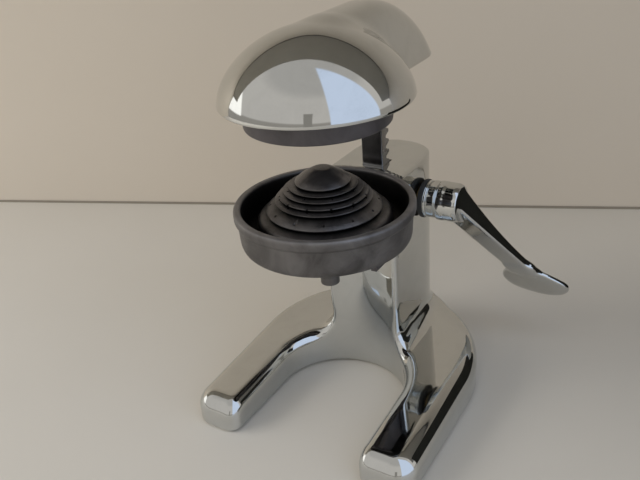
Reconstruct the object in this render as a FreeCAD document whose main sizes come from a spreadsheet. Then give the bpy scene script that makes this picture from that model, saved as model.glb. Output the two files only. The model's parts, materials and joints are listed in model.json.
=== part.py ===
import FreeCAD, Part
import math
import os
import Sketcher

# Countertop citrus press: a side lever turns a pinion, the pinion drives a rack, and the rack
# carries a domed head down over a strainer cone. X runs to the lever's side, Y to the back and
# Z up. The model is built about the axis of the bowl, at the level of the table. At the end every
# piece is moved so that the origin is under the middle of the whole press.

doc = FreeCAD.newDocument("CitrusPress")
V = FreeCAD.Vector

# Driving sizes in millimetres and degrees

SIZES = {
    "base_width": 162.0,
    "base_depth": 176.0,
    "leg_front_height": 22.0,
    "leg_rear_height": 33.0,
    "arch_radius": 45.0,
    "arch_centre": 1.0,
    "leg_front": 61.0,
    "leg_end_outer_round": 16.0,
    "leg_end_inner_round": 12.0,
    "base_edge_round": 11.0,
    "foot_stand": 1.0,
    "column_half": 28.0,
    "column_top": 152.0,
    "column_back": 114.5,
    "column_front_round": 5.5,
    "bowl_recess_radius": 58.0,
    "recess_level": 118.0,
    "column_top_round": 1.2,
    "flare_reach": 13.0,
    "flare_rise": 26.0,
    "rack_width": 15.0,
    "rack_front": 62.5,
    "rack_depth": 10.5,
    "rack_top": 243.0,
    "rack_bottom": 103.0,
    "slot_clear": 0.2,
    "slot_back_space": 3.8,
    "gear_module": 2.25,
    "pinion_teeth": 10.0,
    "pressure_angle": 25.0,
    "tooth_height": 1.8,
    "tooth_depth": 2.36,
    "mesh_backlash": 0.12,
    "pinion_length": 24.0,
    "axle_height": 125.0,
    "shaft_radius": 6.0,
    "bush_wall": 2.0,
    "running_gap": 0.08,
    "fit_gap": 0.03,
    "side_gap": 0.15,
    "core_half": 13.0,
    "washer_radius": 13.2,
    "friction_thick": 3.4,
    "steel_thick": 2.0,
    "hub_radius": 12.2,
    "hub_shoulder_radius": 13.2,
    "hub_neck": 6.5,
    "hub_length": 21.8,
    "lever_drop": 55.0,
    "lever_reach": 70.0,
    "lever_outset": 36.4,
    "lever_root_width": 20.5,
    "lever_tip_width": 19.0,
    "lever_root_thick": 17.6,
    "lever_tip_thick": 6.2,
    "lever_face": 7.0,
    "grip_thick": 5.4,
    "grip_span": 48.2,
    "grip_reach": 38.2,
    "bowl_radius": 55.0,
    "bowl_rim": 154.0,
    "bowl_wall": 2.8,
    "bead_height": 6.8,
    "bead_reach": 1.8,
    "bowl_bottom": 129.0,
    "funnel_drop": 7.0,
    "spout_radius": 6.0,
    "spout_wall": 2.0,
    "spout_end": 97.0,
    "boss_radius": 12.0,
    "strainer_radius": 41.0,
    "strainer_top": 175.2,
    "cap_radius": 16.8,
    "cap_edge": 167.5,
    "second_radius": 24.0,
    "second_edge": 163.0,
    "third_radius": 29.2,
    "third_edge": 157.2,
    "fourth_radius": 35.2,
    "fourth_edge": 150.8,
    "strainer_wall": 2.6,
    "strainer_skirt": 145.5,
    "head_radius": 56.0,
    "head_level": 217.4,
    "head_rise": 43.2,
    "head_wall": 3.6,
    "tail_rise": 43.0,
    "tail_half": 27.0,
    "tail_back": 119.7,
    "tail_fall_start": 53.0,
    "tail_fall_length": 55.0,
    "cup_radius": 42.6,
    "cup_drop": 13.5,
    "cup_wall": 4.0,
    "cup_crown": 233.0,
    "travel": 54.0,
    "ring_radius": 21.0,
    "ring_thick": 8.0,
    "foot_radius": 7.0,
    "base_wall": 7.0,
    "column_wall": 7.5,
    "origin_right": 19.0,
    "origin_back": 40.8,
}

sheet = doc.addObject("Spreadsheet::Sheet", "Sizes")
for row, (alias, value) in enumerate(SIZES.items(), start=1):
    sheet.set("A%d" % row, alias)
    sheet.set("B%d" % row, str(value))
    sheet.setAlias("B%d" % row, alias)
doc.recompute()


def size(alias):
    """The value of one named cell."""
    return float(sheet.get(alias))


# Sizes worked out from the driving sizes

pitch_radius = size("gear_module") * size("pinion_teeth") / 2
rack_pitch = math.pi * size("gear_module")
rack_back = size("rack_front") + size("rack_depth")
pitch_line = rack_back - size("tooth_height")
axle_y = pitch_line + pitch_radius
column_arc = size("column_back") - size("column_half")
outer_radius = size("base_width") / 2
outer_centre = size("base_depth") - size("leg_front") - outer_radius
washer_face = size("column_half") + size("side_gap")
steel_face = washer_face + size("friction_thick") + 0.1
hub_face = steel_face + size("steel_thick") + 0.1
funnel_seat = size("bowl_bottom") - size("funnel_drop")

pieces = []


# Small helpers that make bound objects

def bind(obj, **formulas):
    """Bind properties of an object to the sheet."""
    for prop, formula in formulas.items():
        obj.setExpression(prop.replace("__", "."), formula)
    return obj


def cylinder(name, radius, height, base, direction=V(0, 0, 1)):
    """A cylinder with a bound radius and height."""
    obj = doc.addObject("Part::Cylinder", name)
    bind(obj, Radius=radius, Height=height)
    obj.Placement = FreeCAD.Placement(base, FreeCAD.Rotation(V(0, 0, 1), direction))
    return obj


def block(name, low, high):
    """A box between two corners."""
    obj = doc.addObject("Part::Box", name)
    obj.Length = high.x - low.x
    obj.Width = high.y - low.y
    obj.Height = high.z - low.z
    obj.Placement.Base = low
    return obj


def join(name, *shapes):
    obj = doc.addObject("Part::MultiFuse", name)
    obj.Shapes = list(shapes)
    return obj


def cut(name, base, *tools):
    tool = tools[0]
    if len(tools) > 1:
        tool = join(name + "Tools", *tools)
    obj = doc.addObject("Part::Cut", name)
    obj.Base = base
    obj.Tool = tool
    return obj


def feature(name, shape, placement=None):
    obj = doc.addObject("Part::Feature", name)
    obj.Shape = shape
    if placement:
        obj.Placement = placement
    return obj


def round_edges(name, base, radius, wanted):
    """Round the edges that the test picks."""
    doc.recompute()
    picked = [i for i, edge in enumerate(base.Shape.Edges, start=1) if wanted(edge)]
    obj = doc.addObject("Part::Fillet", name)
    obj.Base = base
    obj.Edges = [(i, radius, radius) for i in picked]
    return obj


def finish(obj, label):
    """Give a piece the name that its file takes."""
    obj.Label = label
    pieces.append(obj)
    return obj


def plane_of(body, role):
    return [f for f in body.Origin.OriginFeatures if f.Role == role][0]


def profile_sketch(body, name, role, points):
    """A closed outline whose points are bound to formulas; a number stays as it is."""
    sketch = body.newObject("Sketcher::SketchObject", name)
    sketch.AttachmentSupport = [(plane_of(body, role), "")]
    sketch.MapMode = "FlatFace"
    places = [tuple(value_of(v) for v in point) for point in points]
    count = len(places)
    for i in range(count):
        start = V(places[i][0], places[i][1], 0)
        end = V(places[(i + 1) % count][0], places[(i + 1) % count][1], 0)
        sketch.addGeometry(Part.LineSegment(start, end))
    for i in range(count):
        sketch.addConstraint(Sketcher.Constraint("Coincident", i, 2, (i + 1) % count, 1))
    for i, point in enumerate(points):
        for kind, axis, value in (("DistanceX", -2, point[0]), ("DistanceY", -1, point[1])):
            if abs(value_of(value)) < 1e-9:
                sketch.addConstraint(Sketcher.Constraint("PointOnObject", i, 1, axis))
                continue
            index = sketch.addConstraint(Sketcher.Constraint(kind, -1, 1, i, 1, value_of(value)))
            if isinstance(value, str):
                sketch.setExpression("Constraints[%d]" % index, value)
    return sketch


def value_of(value):
    """A number, or a formula on the sheet worked out."""
    if not isinstance(value, str):
        return float(value)
    names = {alias: size(alias) for alias in SIZES}
    terms = value.replace("Sizes.", "")
    total = 0.0
    for part in terms.replace("-", "+-").split("+"):
        part = part.strip()
        if not part:
            continue
        sign = -1.0 if part.startswith("-") else 1.0
        part = part.lstrip("- ")
        factor = 1.0
        for piece in part.split("*"):
            piece = piece.strip()
            factor *= names[piece] if piece in names else float(piece)
        total += sign * factor
    return total


def turned(label, points):
    """A body turned about Z from a half outline in the XZ plane."""
    body = doc.addObject("PartDesign::Body", label)
    sketch = profile_sketch(body, label + "_outline", "XZ_Plane", points)
    turn = body.newObject("PartDesign::Revolution", label + "_turn")
    turn.Profile = sketch
    turn.ReferenceAxis = (sketch, ["V_Axis"])
    turn.Angle = 360.0
    doc.recompute()
    return body


# Body casting: horseshoe base and rear column

def base_solid(name, inset):
    """The horseshoe: an outer D less an inner arch, under a sloping top, drawn in by an inset."""
    floor = size("foot_stand") - (inset > 0) * 3
    tall = 60.0
    front = -size("leg_front") + inset
    wide = outer_radius - inset
    arch = size("arch_radius") + inset
    rear = cylinder(
        name + "Rear", "Sizes.base_width / 2 - " + str(inset), "60", V(0, outer_centre, floor))
    rear.Angle = 180
    outer = join(
        name + "Outer", rear,
        block(name + "Front", V(-wide, front, floor), V(wide, outer_centre, floor + tall)))
    inner = join(
        name + "Arch",
        cylinder(name + "ArchRear", "Sizes.arch_radius + " + str(inset), "70", V(0, size("arch_centre"), -5)),
        block(name + "ArchFront", V(-arch, front - 5, -5), V(arch, size("arch_centre"), 65)))
    plan = cut(name + "Plan", outer, inner)

    def at_end(edge, x):
        box = edge.BoundBox
        upright = box.ZLength > tall - 1 and box.XLength < 1e-3
        return upright and abs(box.YMin - front) < 1e-3 and abs(abs(box.XMin) - x) < 1e-3

    outside = round_edges(name + "EndsOuter", plan, size("leg_end_outer_round") - inset,
                          lambda e: at_end(e, wide))
    inside = round_edges(name + "EndsInner", outside, size("leg_end_inner_round") - inset,
                         lambda e: at_end(e, arch))
    slope = math.degrees(math.atan((size("leg_rear_height") - size("leg_front_height"))
                                   / size("base_depth")))
    lid = doc.addObject("Part::Box", name + "Lid")
    lid.Length = 2 * outer_radius + 40
    lid.Width = size("base_depth") + 80
    lid.Height = 80
    lid.Placement = FreeCAD.Placement(
        V(-outer_radius - 20, -size("leg_front"), size("leg_front_height") - inset),
        FreeCAD.Rotation(V(1, 0, 0), slope))
    shift = lid.Placement.Rotation.multVec(V(0, -20, 0))
    lid.Placement.Base = lid.Placement.Base + shift
    sloped = cut(name + "Sloped", inside, lid)
    if inset:
        return sloped

    def on_top(edge):
        low = size("leg_front_height") - 3
        return edge.BoundBox.ZMin > low

    return round_edges(name + "Rounded", sloped, size("base_edge_round"), on_top)


def column_wire(half, front, corner, level):
    """The column's plan outline: a hollow front, flat sides and a round back."""
    arch = size("arch_centre")
    front_y = arch + math.sqrt(front ** 2 - half ** 2)
    back_y = column_arc
    right = V(half, front_y, level)
    left = V(-half, front_y, level)
    edges = [
        Part.Arc(left, V(0, arch + front, level), right).toShape(),
        Part.makeLine(right, V(half, back_y, level)),
        Part.Arc(V(half, back_y, level), V(0, back_y + half, level), V(-half, back_y, level)).toShape(),
        Part.makeLine(V(-half, back_y, level), left),
    ]
    slab = Part.Face(Part.Wire(edges)).extrude(V(0, 0, 1))
    sharp = [e for e in slab.Edges
             if e.BoundBox.ZLength > 0.9 and abs(e.BoundBox.YMax - front_y) < 1e-3]
    eased = slab.makeFillet(corner, sharp)
    low = [f for f in eased.Faces if abs(f.CenterOfMass.z - level) < 1e-6]
    return low[0].OuterWire


def column_prism(half, front, corner, low, high):
    return Part.Face(column_wire(half, front, corner, low)).extrude(V(0, 0, high - low))


def column_solid():
    """The column above its flare, the recess for the bowl, the flare and its toe."""
    floor = size("foot_stand")
    half = size("column_half")
    arch = size("arch_radius")
    corner = size("column_front_round")
    level = size("recess_level")
    lower = column_prism(half, arch, corner, floor, level)
    upper = column_prism(half, size("bowl_recess_radius"), 1.5, level - 10, size("column_top"))
    rim = [e for e in upper.Edges if e.BoundBox.ZMin > size("column_top") - 1e-3]
    upper = upper.makeFillet(size("column_top_round"), rim)
    reach = size("flare_reach")
    rise = size("flare_rise")
    start = size("leg_rear_height") - 5
    wires = []
    for step in range(6):
        up = step / 5
        grow = reach * (1 - math.sqrt(1 - (1 - up) ** 2))
        wires.append(column_wire(half + grow, arch, corner, start + rise * up))
    flare = Part.makeLoft(wires, True, False)
    toe = column_prism(half + reach, arch, corner, floor, start)
    plan = Part.makeCylinder(outer_radius, 80, V(0, outer_centre, 0))
    return lower, upper, flare.common(plan), toe.common(plan)


column_names = ("ColumnLower", "ColumnUpper", "ColumnFlare", "ColumnToe")
column = join("Column", *[feature(name, shape) for name, shape in zip(column_names, column_solid())])
casting = join("CastingBlank", base_solid("Base", 0), column)

bush_radius = size("shaft_radius") + size("running_gap") + size("bush_wall")
slot_half = size("rack_width") / 2 + size("slot_clear")
core_front = size("rack_front") + 3.5
core_back = axle_y + pitch_radius + size("tooth_height") + 1.5
core = block("Core", V(-size("core_half"), core_front, 0),
             V(size("core_half"), core_back, size("column_top") - 10))
channel = block("RackChannel", V(-slot_half, size("rack_front") - size("slot_clear"), 45),
                V(slot_half, rack_back + size("slot_back_space"), size("column_top") + 5))
shaft_bore = cylinder(
    "ShaftBore", "Sizes.shaft_radius + Sizes.running_gap + Sizes.bush_wall + Sizes.fit_gap", "Sizes.column_half * 2 + 20",
    V(-size("column_half") - 10, axle_y, size("axle_height")), V(1, 0, 0))
foot_spots = [(62.0, -43.0), (-62.0, -43.0), (52.0, 74.0), (-52.0, 74.0)]
foot_bosses = [cylinder("FootBoss%d" % i, "Sizes.foot_radius + 5.6", "40", V(x, y, -4))
               for i, (x, y) in enumerate(foot_spots)]
hollow = cut("BaseHollow", base_solid("Hollow", size("base_wall")), *foot_bosses)
wall = size("column_wall")
tunnel = block("ColumnHollow", V(-size("column_half") + wall, 59, 0),
               V(size("column_half") - wall, size("column_back") - wall - 3, 100))
foot_pockets = [cylinder("FootPocket%d" % i, "Sizes.foot_radius + 0.2", "6", V(x, y, -1))
                for i, (x, y) in enumerate(foot_spots)]
foot_threads = [cylinder("FootThread%d" % i, "1.6", "14", V(x, y, 0))
                for i, (x, y) in enumerate(foot_spots)]
ring_screw_z = 104.0
ring_screw_x = 12.0
ring_threads = [
    cylinder("RingThread%d" % i, "1.7", "12",
             V(x, size("arch_centre") + math.sqrt(size("arch_radius") ** 2 - x ** 2) - 1,
               ring_screw_z), V(0, 1, 0))
    for i, x in enumerate((ring_screw_x, -ring_screw_x))]
body_casting = cut("BodyCasting", casting, core, channel, shaft_bore, hollow, tunnel,
                   *foot_pockets, *foot_threads, *ring_threads)
finish(body_casting, "body_casting")

# Feet and their screws

feet = []
foot_screws = []
for i, (x, y) in enumerate(foot_spots):
    pad = cylinder("FootPad%d" % i, "Sizes.foot_radius", "4.9", V(x, y, 0))
    well = cylinder("FootWell%d" % i, "3.6", "3", V(x, y, -1))
    hole = cylinder("FootHole%d" % i, "1.7", "10", V(x, y, -1))
    feet.append(cut("Foot%d" % i, pad, well, hole))
    head = cylinder("FootScrewHead%d" % i, "3", "1.4", V(x, y, 0.6))
    stem = cylinder("FootScrewStem%d" % i, "1.5", "10.5", V(x, y, 2.0))
    foot_screws.append(join("FootScrew%d" % i, head, stem))
for i, foot in enumerate(feet):
    finish(foot, "foot_" + ("front_right", "front_left", "rear_right", "rear_left")[i])
finish(join("FootScrews", *foot_screws), "foot_screws")

# Shaft, bushes, pinion and key

axle = V(0, axle_y, size("axle_height"))


def on_axle(x):
    return V(x, axle.y, axle.z)


def tube(name, outer, inner, length, start):
    """A ring on the lever's axle, from a start towards +X."""
    skin = cylinder(name + "Skin", outer, length, on_axle(start), V(1, 0, 0))
    hole = cylinder(name + "Hole", inner, length + " + 2", on_axle(start - 1), V(1, 0, 0))
    return cut(name, skin, hole)


bush_length = size("column_half") - size("core_half")
BUSH_FORMULA = "Sizes.column_half - Sizes.core_half"
finish(tube("RightBush", "Sizes.shaft_radius + Sizes.running_gap + Sizes.bush_wall",
            "Sizes.shaft_radius + Sizes.running_gap", BUSH_FORMULA, size("core_half")), "right_bush")
finish(tube("LeftBush", "Sizes.shaft_radius + Sizes.running_gap + Sizes.bush_wall",
            "Sizes.shaft_radius + Sizes.running_gap", BUSH_FORMULA, -size("column_half")), "left_bush")

key_width = 4.0
key_reach = 1.3
shaft_left = -size("column_half") - size("side_gap") - 0.1
shaft_right = hub_face + size("hub_length") - 4
shaft_length = shaft_right - shaft_left
shaft_body = cylinder("ShaftBody", "Sizes.shaft_radius", str(shaft_length), on_axle(shaft_left), V(1, 0, 0))
key_low = V(-size("pinion_length") / 2, axle.y - key_width / 2, axle.z + size("shaft_radius") - key_reach)
key_high = V(size("pinion_length") / 2, axle.y + key_width / 2, axle.z + size("shaft_radius") + key_reach)
keyway = block("ShaftKeyway", key_low, key_high)
screw_bore_left = cylinder("ShaftBoreLeft", "2.5", "16", on_axle(shaft_left - 1), V(1, 0, 0))
screw_bore_right = cylinder("ShaftBoreRight", "2.5", "15", on_axle(shaft_right - 14), V(1, 0, 0))
finish(cut("PinionShaft", shaft_body, keyway, screw_bore_left, screw_bore_right), "pinion_shaft")
finish(block("PinionKey", key_low, key_high), "pinion_key")


def pinion_outline():
    """Involute teeth as a closed wire in the YZ plane, one gap facing the rack's tooth."""
    teeth = int(size("pinion_teeth"))
    angle = math.radians(size("pressure_angle"))
    base = pitch_radius * math.cos(angle)
    tip = pitch_radius + size("tooth_height")
    root = pitch_radius - size("tooth_depth")
    spread = math.tan(angle) - angle
    half_tooth = math.pi / (2 * teeth) - size("mesh_backlash") / (2 * pitch_radius) + spread

    def flank(radius, side, middle):
        reach = max(radius, base)
        turn = math.acos(base / reach)
        away = half_tooth - (math.tan(turn) - turn)
        at = middle + side * away
        return V(0, radius * math.cos(at), radius * math.sin(at))

    edges = []
    first = None
    previous = None
    steps = [base + (tip - base) * k / 4 for k in range(5)]
    for tooth in range(teeth):
        middle = 2 * math.pi * (tooth + 0.5) / teeth + math.pi
        rising = [flank(root, -1, middle)] + [flank(radius, -1, middle) for radius in steps]
        falling = [flank(radius, 1, middle) for radius in reversed(steps)] + [flank(root, 1, middle)]
        if previous is not None:
            edges.append(Part.makeLine(previous, rising[0]))
        else:
            first = rising[0]
        edges.append(Part.makeLine(rising[0], rising[1]))
        rise = Part.BSplineCurve()
        rise.interpolate(rising[1:])
        edges.append(rise.toShape())
        edges.append(Part.makeLine(rising[-1], falling[0]))
        fall = Part.BSplineCurve()
        fall.interpolate(falling[:-1])
        edges.append(fall.toShape())
        edges.append(Part.makeLine(falling[-2], falling[-1]))
        previous = falling[-1]
    edges.append(Part.makeLine(previous, first))
    return Part.Wire(edges)


gear = Part.Face(pinion_outline()).extrude(V(size("pinion_length"), 0, 0))
gear_blank = feature("PinionBlank", gear, FreeCAD.Placement(
    on_axle(-size("pinion_length") / 2), FreeCAD.Rotation()))
gear_bore = cylinder("PinionBore", "Sizes.shaft_radius + Sizes.fit_gap", "Sizes.pinion_length + 2",
                     on_axle(-size("pinion_length") / 2 - 1), V(1, 0, 0))
gear_keyway = block("PinionKeyway", key_low - V(1, 0, 0), key_high + V(1, 0, 0))
finish(cut("Pinion", gear_blank, gear_bore, gear_keyway), "pinion")

# Rack: a bar with teeth at the back, driven by the pinion

def rack_outline():
    """The rack seen from the side, as a wire in the YZ plane."""
    lean = math.tan(math.radians(size("pressure_angle")))
    tip_y = pitch_line + size("tooth_height")
    root_y = pitch_line - size("tooth_depth")
    half_pitch_width = rack_pitch / 4 - size("mesh_backlash") / 2
    tip_half = half_pitch_width - (tip_y - pitch_line) * lean
    root_half = half_pitch_width + (pitch_line - root_y) * lean
    low = size("rack_bottom")
    high = size("rack_top")
    back = rack_back
    spots = []
    first = -math.floor((size("axle_height") - low - 11) / rack_pitch)
    last = math.floor((size("travel") + 2.2 * rack_pitch) / rack_pitch)
    spots.append(V(0, size("rack_front"), low))
    spots.append(V(0, root_y, low))
    for tooth in range(first, last + 1):
        middle = size("axle_height") + tooth * rack_pitch
        spots.append(V(0, root_y, middle - root_half))
        spots.append(V(0, tip_y, middle - tip_half))
        spots.append(V(0, tip_y, middle + tip_half))
        spots.append(V(0, root_y, middle + root_half))
    end = size("axle_height") + last * rack_pitch + root_half + 1
    spots.append(V(0, root_y, end))
    spots.append(V(0, back, end + 1.5))
    spots.append(V(0, back, high))
    spots.append(V(0, size("rack_front"), high))
    spots.append(spots[0])
    return Part.makePolygon(spots)


rack_blank = feature("RackBlank", Part.Face(rack_outline()).extrude(V(size("rack_width"), 0, 0)),
                     FreeCAD.Placement(V(-size("rack_width") / 2, 0, 0), FreeCAD.Rotation()))
rack_long = round_edges(
    "RackEased", rack_blank, 0.8,
    lambda e: e.BoundBox.ZLength > 100 and abs(e.BoundBox.YMax - size("rack_front")) < 1e-3)
rack_screw_levels = (226.0, 236.0)
rack_threads = [cylinder("RackThread%d" % i, "2.1", "Sizes.rack_depth + 2",
                         V(0, size("rack_front") - 1, level), V(0, 1, 0))
                for i, level in enumerate(rack_screw_levels)]
stop_level = size("rack_bottom") + 3.5
stop_thread = cylinder("StopThread", "1.6", "7", V(0, size("rack_front") + 1, stop_level), V(0, 1, 0))
finish(cut("Rack", rack_long, stop_thread, *rack_threads), "rack")

stop_root = pitch_line - size("tooth_depth")
stop_stem = cylinder("StopStem", "1.5", "4", V(0, stop_root - 3.9, stop_level), V(0, 1, 0))
stop_head = cylinder("StopHead", "2.9", "3", V(0, stop_root + 0.1, stop_level), V(0, 1, 0))
finish(join("StopScrew", stop_stem, stop_head), "rack_stop_screw")

# Washers, and the screws in the ends of the shaft

finish(tube("FrictionWasher", "Sizes.washer_radius", "Sizes.shaft_radius + Sizes.running_gap",
            "Sizes.friction_thick",
            washer_face), "friction_washer")
finish(tube("SteelWasher", "Sizes.washer_radius - 0.3", "Sizes.shaft_radius + Sizes.fit_gap",
            "Sizes.steel_thick",
            steel_face), "steel_washer")


def end_screw(name, face, way, stem_length):
    """A button-headed screw on the axle; way is 1 to the right and -1 to the left."""
    stem = cylinder(name + "Stem", "2.4", str(stem_length), on_axle(face), V(-way, 0, 0))
    dome = Part.makeSphere(8.0, V(0, 0, -4.5))
    cap = dome.common(Part.makeCylinder(6.0, 8.0))
    cap_obj = feature(name + "Cap", cap, FreeCAD.Placement(
        on_axle(face), FreeCAD.Rotation(V(0, 0, 1), V(way, 0, 0))))
    socket = cylinder(name + "Socket", "1.9", "2", on_axle(face + way * 2.0), V(way, 0, 0))
    return cut(name, join(name + "Blank", cap_obj, stem), socket)


left_washer_start = shaft_left - 2.5
left_washer = tube("EndWasher", "Sizes.washer_radius - 1.4", "2.6", "2.4", left_washer_start)
finish(left_washer, "end_washer")
finish(end_screw("EndScrew", left_washer_start - 0.1, -1, 14), "end_screw")

# Lever: hub, tapering arm and leaf-shaped grip. Its own frame has X along the axle, Y along the
# arm as it hangs and Z away from the face that the hand pushes on.

lever_turn = FreeCAD.Rotation(V(1, 0, 0), -size("lever_drop"))
lever_place = FreeCAD.Placement(axle, lever_turn)


def rounded_box_wire(x_low, x_high, z_low, z_high, y, corner):
    """A rectangle with round corners, square to the arm."""
    outline = Part.makePolygon([V(x_low, y, z_low), V(x_high, y, z_low), V(x_high, y, z_high),
                                V(x_low, y, z_high), V(x_low, y, z_low)])
    face = Part.Face(outline)
    block_shape = face.extrude(V(0, 1, 0))
    uprights = [e for e in block_shape.Edges if e.BoundBox.YLength > 0.9 and e.BoundBox.XLength < 1e-6
                and e.BoundBox.ZLength < 1e-6]
    eased = block_shape.makeFillet(corner, uprights)
    ends = [f for f in eased.Faces if abs(f.CenterOfMass.y - y) < 1e-6]
    return ends[0].OuterWire


def arm_solid():
    """The arm: rounded rectangles that thin quickly from the hub to the grip."""
    face = -size("lever_face")
    reach = size("lever_reach")
    root = -9.0
    hub_middle = hub_face + size("hub_length") / 2 + 4.8
    wires = []
    for share in (0.0, 0.18, 0.36, 0.54, 0.76, 1.0):
        out = root + (reach - root) * share
        wide = size("lever_root_width") + (size("lever_tip_width") - size("lever_root_width")) * share
        thin = size("lever_tip_thick")
        thick = thin + (size("lever_root_thick") - thin) * (1 - share) ** 2
        middle = hub_middle + size("lever_outset") * out / reach
        wires.append(rounded_box_wire(middle - wide / 2, middle + wide / 2, face, face + thick, out, 2.4))
    return Part.makeLoft(wires, True, False)


def grip_solid():
    """The leaf: a closed curve that swings outwards from the arm's end, given as shares of its size."""
    face = -size("lever_face")
    root = V(hub_face + size("hub_length") / 2 + 4.8 + size("lever_outset"), size("lever_reach"), face)
    span = size("grip_span")
    reach = size("grip_reach")
    outline = []
    for across, along in ((-0.19, -0.1), (-0.24, 0.2), (-0.3, 0.4), (-0.3, 0.6), (-0.2, 0.82), (0.0, 0.95),
                          (0.25, 1.0), (0.43, 0.96), (0.59, 0.84), (0.68, 0.66), (0.68, 0.5), (0.6, 0.37),
                          (0.42, 0.2), (0.27, 0.07), (0.18, -0.1)):
        outline.append(root + V(span * across, reach * along, 0))
    curve = Part.BSplineCurve()
    curve.interpolate(outline, PeriodicFlag=True)
    leaf = Part.Face(Part.Wire(curve.toShape())).extrude(V(0, 0, size("grip_thick")))
    rims = [e for e in leaf.Edges if e.BoundBox.ZLength < 1e-3]
    return leaf.makeFillet(1.6, rims)


def hub_solid():
    """The hub: a neck, then a wider shoulder with a rounded end."""
    neck = Part.makeCylinder(size("hub_radius"), size("hub_neck") + 1, V(hub_face, 0, 0), V(1, 0, 0))
    shoulder = Part.makeCylinder(size("hub_shoulder_radius"), size("hub_length") - size("hub_neck"),
                                 V(hub_face + size("hub_neck"), 0, 0), V(1, 0, 0))
    end = hub_face + size("hub_length")
    rims = [e for e in shoulder.Edges if e.BoundBox.XLength < 1e-3]
    far = [e for e in rims if abs(e.BoundBox.XMin - end) < 1e-3]
    near = [e for e in rims if abs(e.BoundBox.XMin - end) > 1e-3]
    shoulder = shoulder.makeFillet(3.5, far)
    near = [e for e in shoulder.Edges if abs(e.BoundBox.XMax - hub_face - size("hub_neck")) < 1e-3]
    return neck.fuse(shoulder.makeFillet(0.9, near))


hub_bore = cylinder("HubBore", "Sizes.shaft_radius + Sizes.fit_gap", str(shaft_right + 0.1 - hub_face + 1),
                    on_axle(hub_face - 1), V(1, 0, 0))
lever_blank = join("LeverBlank", feature("LeverHub", hub_solid(), lever_place),
                   feature("LeverArm", arm_solid(), lever_place),
                   feature("LeverGrip", grip_solid(), lever_place))
grub_x = hub_face + size("hub_neck") / 2 + 0.2
grub_way = lever_turn.multVec(V(0, 0, 1))
grub_hole = cylinder("GrubHole", "2", "20", V(grub_x, axle.y, axle.z), grub_way)
finish(cut("Lever", lever_blank, hub_bore, grub_hole), "lever")
grub_body = cylinder("GrubBody", "1.95", "4.6", V(grub_x, axle.y, axle.z) + grub_way * (size("shaft_radius") + 0.1),
                     grub_way)
grub_socket = cylinder("GrubSocket", "1.0", "3",
                       V(grub_x, axle.y, axle.z) + grub_way * (size("shaft_radius") + 3.2), grub_way)
finish(cut("GrubScrew", grub_body, grub_socket), "lever_set_screw")

# Bowl with its rim bead, funnel floor and spout

bowl = turned("bowl", [
    ("Sizes.spout_radius - Sizes.spout_wall", "Sizes.spout_end"),
    ("Sizes.spout_radius", "Sizes.spout_end"),
    ("Sizes.spout_radius", "Sizes.bowl_bottom - Sizes.funnel_drop - Sizes.ring_thick - 2"),
    ("Sizes.boss_radius - 1.5", "Sizes.bowl_bottom - Sizes.funnel_drop - Sizes.ring_thick + 1"),
    ("Sizes.boss_radius", "Sizes.bowl_bottom - Sizes.funnel_drop"),
    ("Sizes.ring_radius + 1", "Sizes.bowl_bottom - Sizes.funnel_drop"),
    ("Sizes.bowl_radius - Sizes.bead_reach - 5", "Sizes.bowl_bottom"),
    ("Sizes.bowl_radius - Sizes.bead_reach - 1.8", "Sizes.bowl_bottom + 1.2"),
    ("Sizes.bowl_radius - Sizes.bead_reach - 0.8", "Sizes.bowl_bottom + 4"),
    ("Sizes.bowl_radius - Sizes.bead_reach", "Sizes.bowl_rim - Sizes.bead_height"),
    ("Sizes.bowl_radius - 0.4", "Sizes.bowl_rim - Sizes.bead_height"),
    ("Sizes.bowl_radius", "Sizes.bowl_rim - Sizes.bead_height + 1"),
    ("Sizes.bowl_radius", "Sizes.bowl_rim - 1.2"),
    ("Sizes.bowl_radius - 1", "Sizes.bowl_rim"),
    ("Sizes.bowl_radius - Sizes.bead_reach - Sizes.bowl_wall + 0.6", "Sizes.bowl_rim"),
    ("Sizes.bowl_radius - Sizes.bead_reach - Sizes.bowl_wall", "Sizes.bowl_rim - 1"),
    ("Sizes.bowl_radius - Sizes.bead_reach - Sizes.bowl_wall - 0.8", "Sizes.bowl_bottom + 8"),
    ("Sizes.bowl_radius - Sizes.bead_reach - Sizes.bowl_wall - 5", "Sizes.bowl_bottom + 3.6"),
    ("Sizes.boss_radius", "Sizes.bowl_bottom - Sizes.funnel_drop + 3"),
    ("Sizes.spout_radius - Sizes.spout_wall", "Sizes.bowl_bottom - Sizes.funnel_drop - 1"),
])
finish(bowl, "bowl")

# Strainer: a stepped cone on a skirt, with drain holes and slots

STEPS = ("cap", "second", "third", "fourth")


def strainer_outline():
    """Half outline: overlapping terraces outside, a plain cone inside."""
    top = size("strainer_top")
    wall = size("strainer_wall")
    foot = size("bowl_bottom") + 2.9
    spots = [(0.0, top), (5.4, top), (7.2, top - 0.9)]
    for step in STEPS:
        radius = size(step + "_radius")
        edge = size(step + "_edge")
        before = spots[-1]
        spots.append((radius - 0.3 * (radius - before[0]), edge + 0.42 * (before[1] - edge)))
        spots.append((radius, edge))
        spots.append((radius - 1.1, edge - 0.9))
    spots.append((size("strainer_radius") - 1.5, size("strainer_skirt") + 1.6))
    spots.append((size("strainer_radius"), size("strainer_skirt") - 0.5))
    spots.append((size("strainer_radius"), foot))
    spots.append((size("strainer_radius") - wall, foot))
    spots.append((size("strainer_radius") - wall, size("strainer_skirt") - 3.5))
    spots.append((size("third_radius") - 3, size("third_edge") - 6))
    spots.append((size("cap_radius") - 2, size("cap_edge") - 5))
    spots.append((0.0, top - wall - 6))
    return spots


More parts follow.
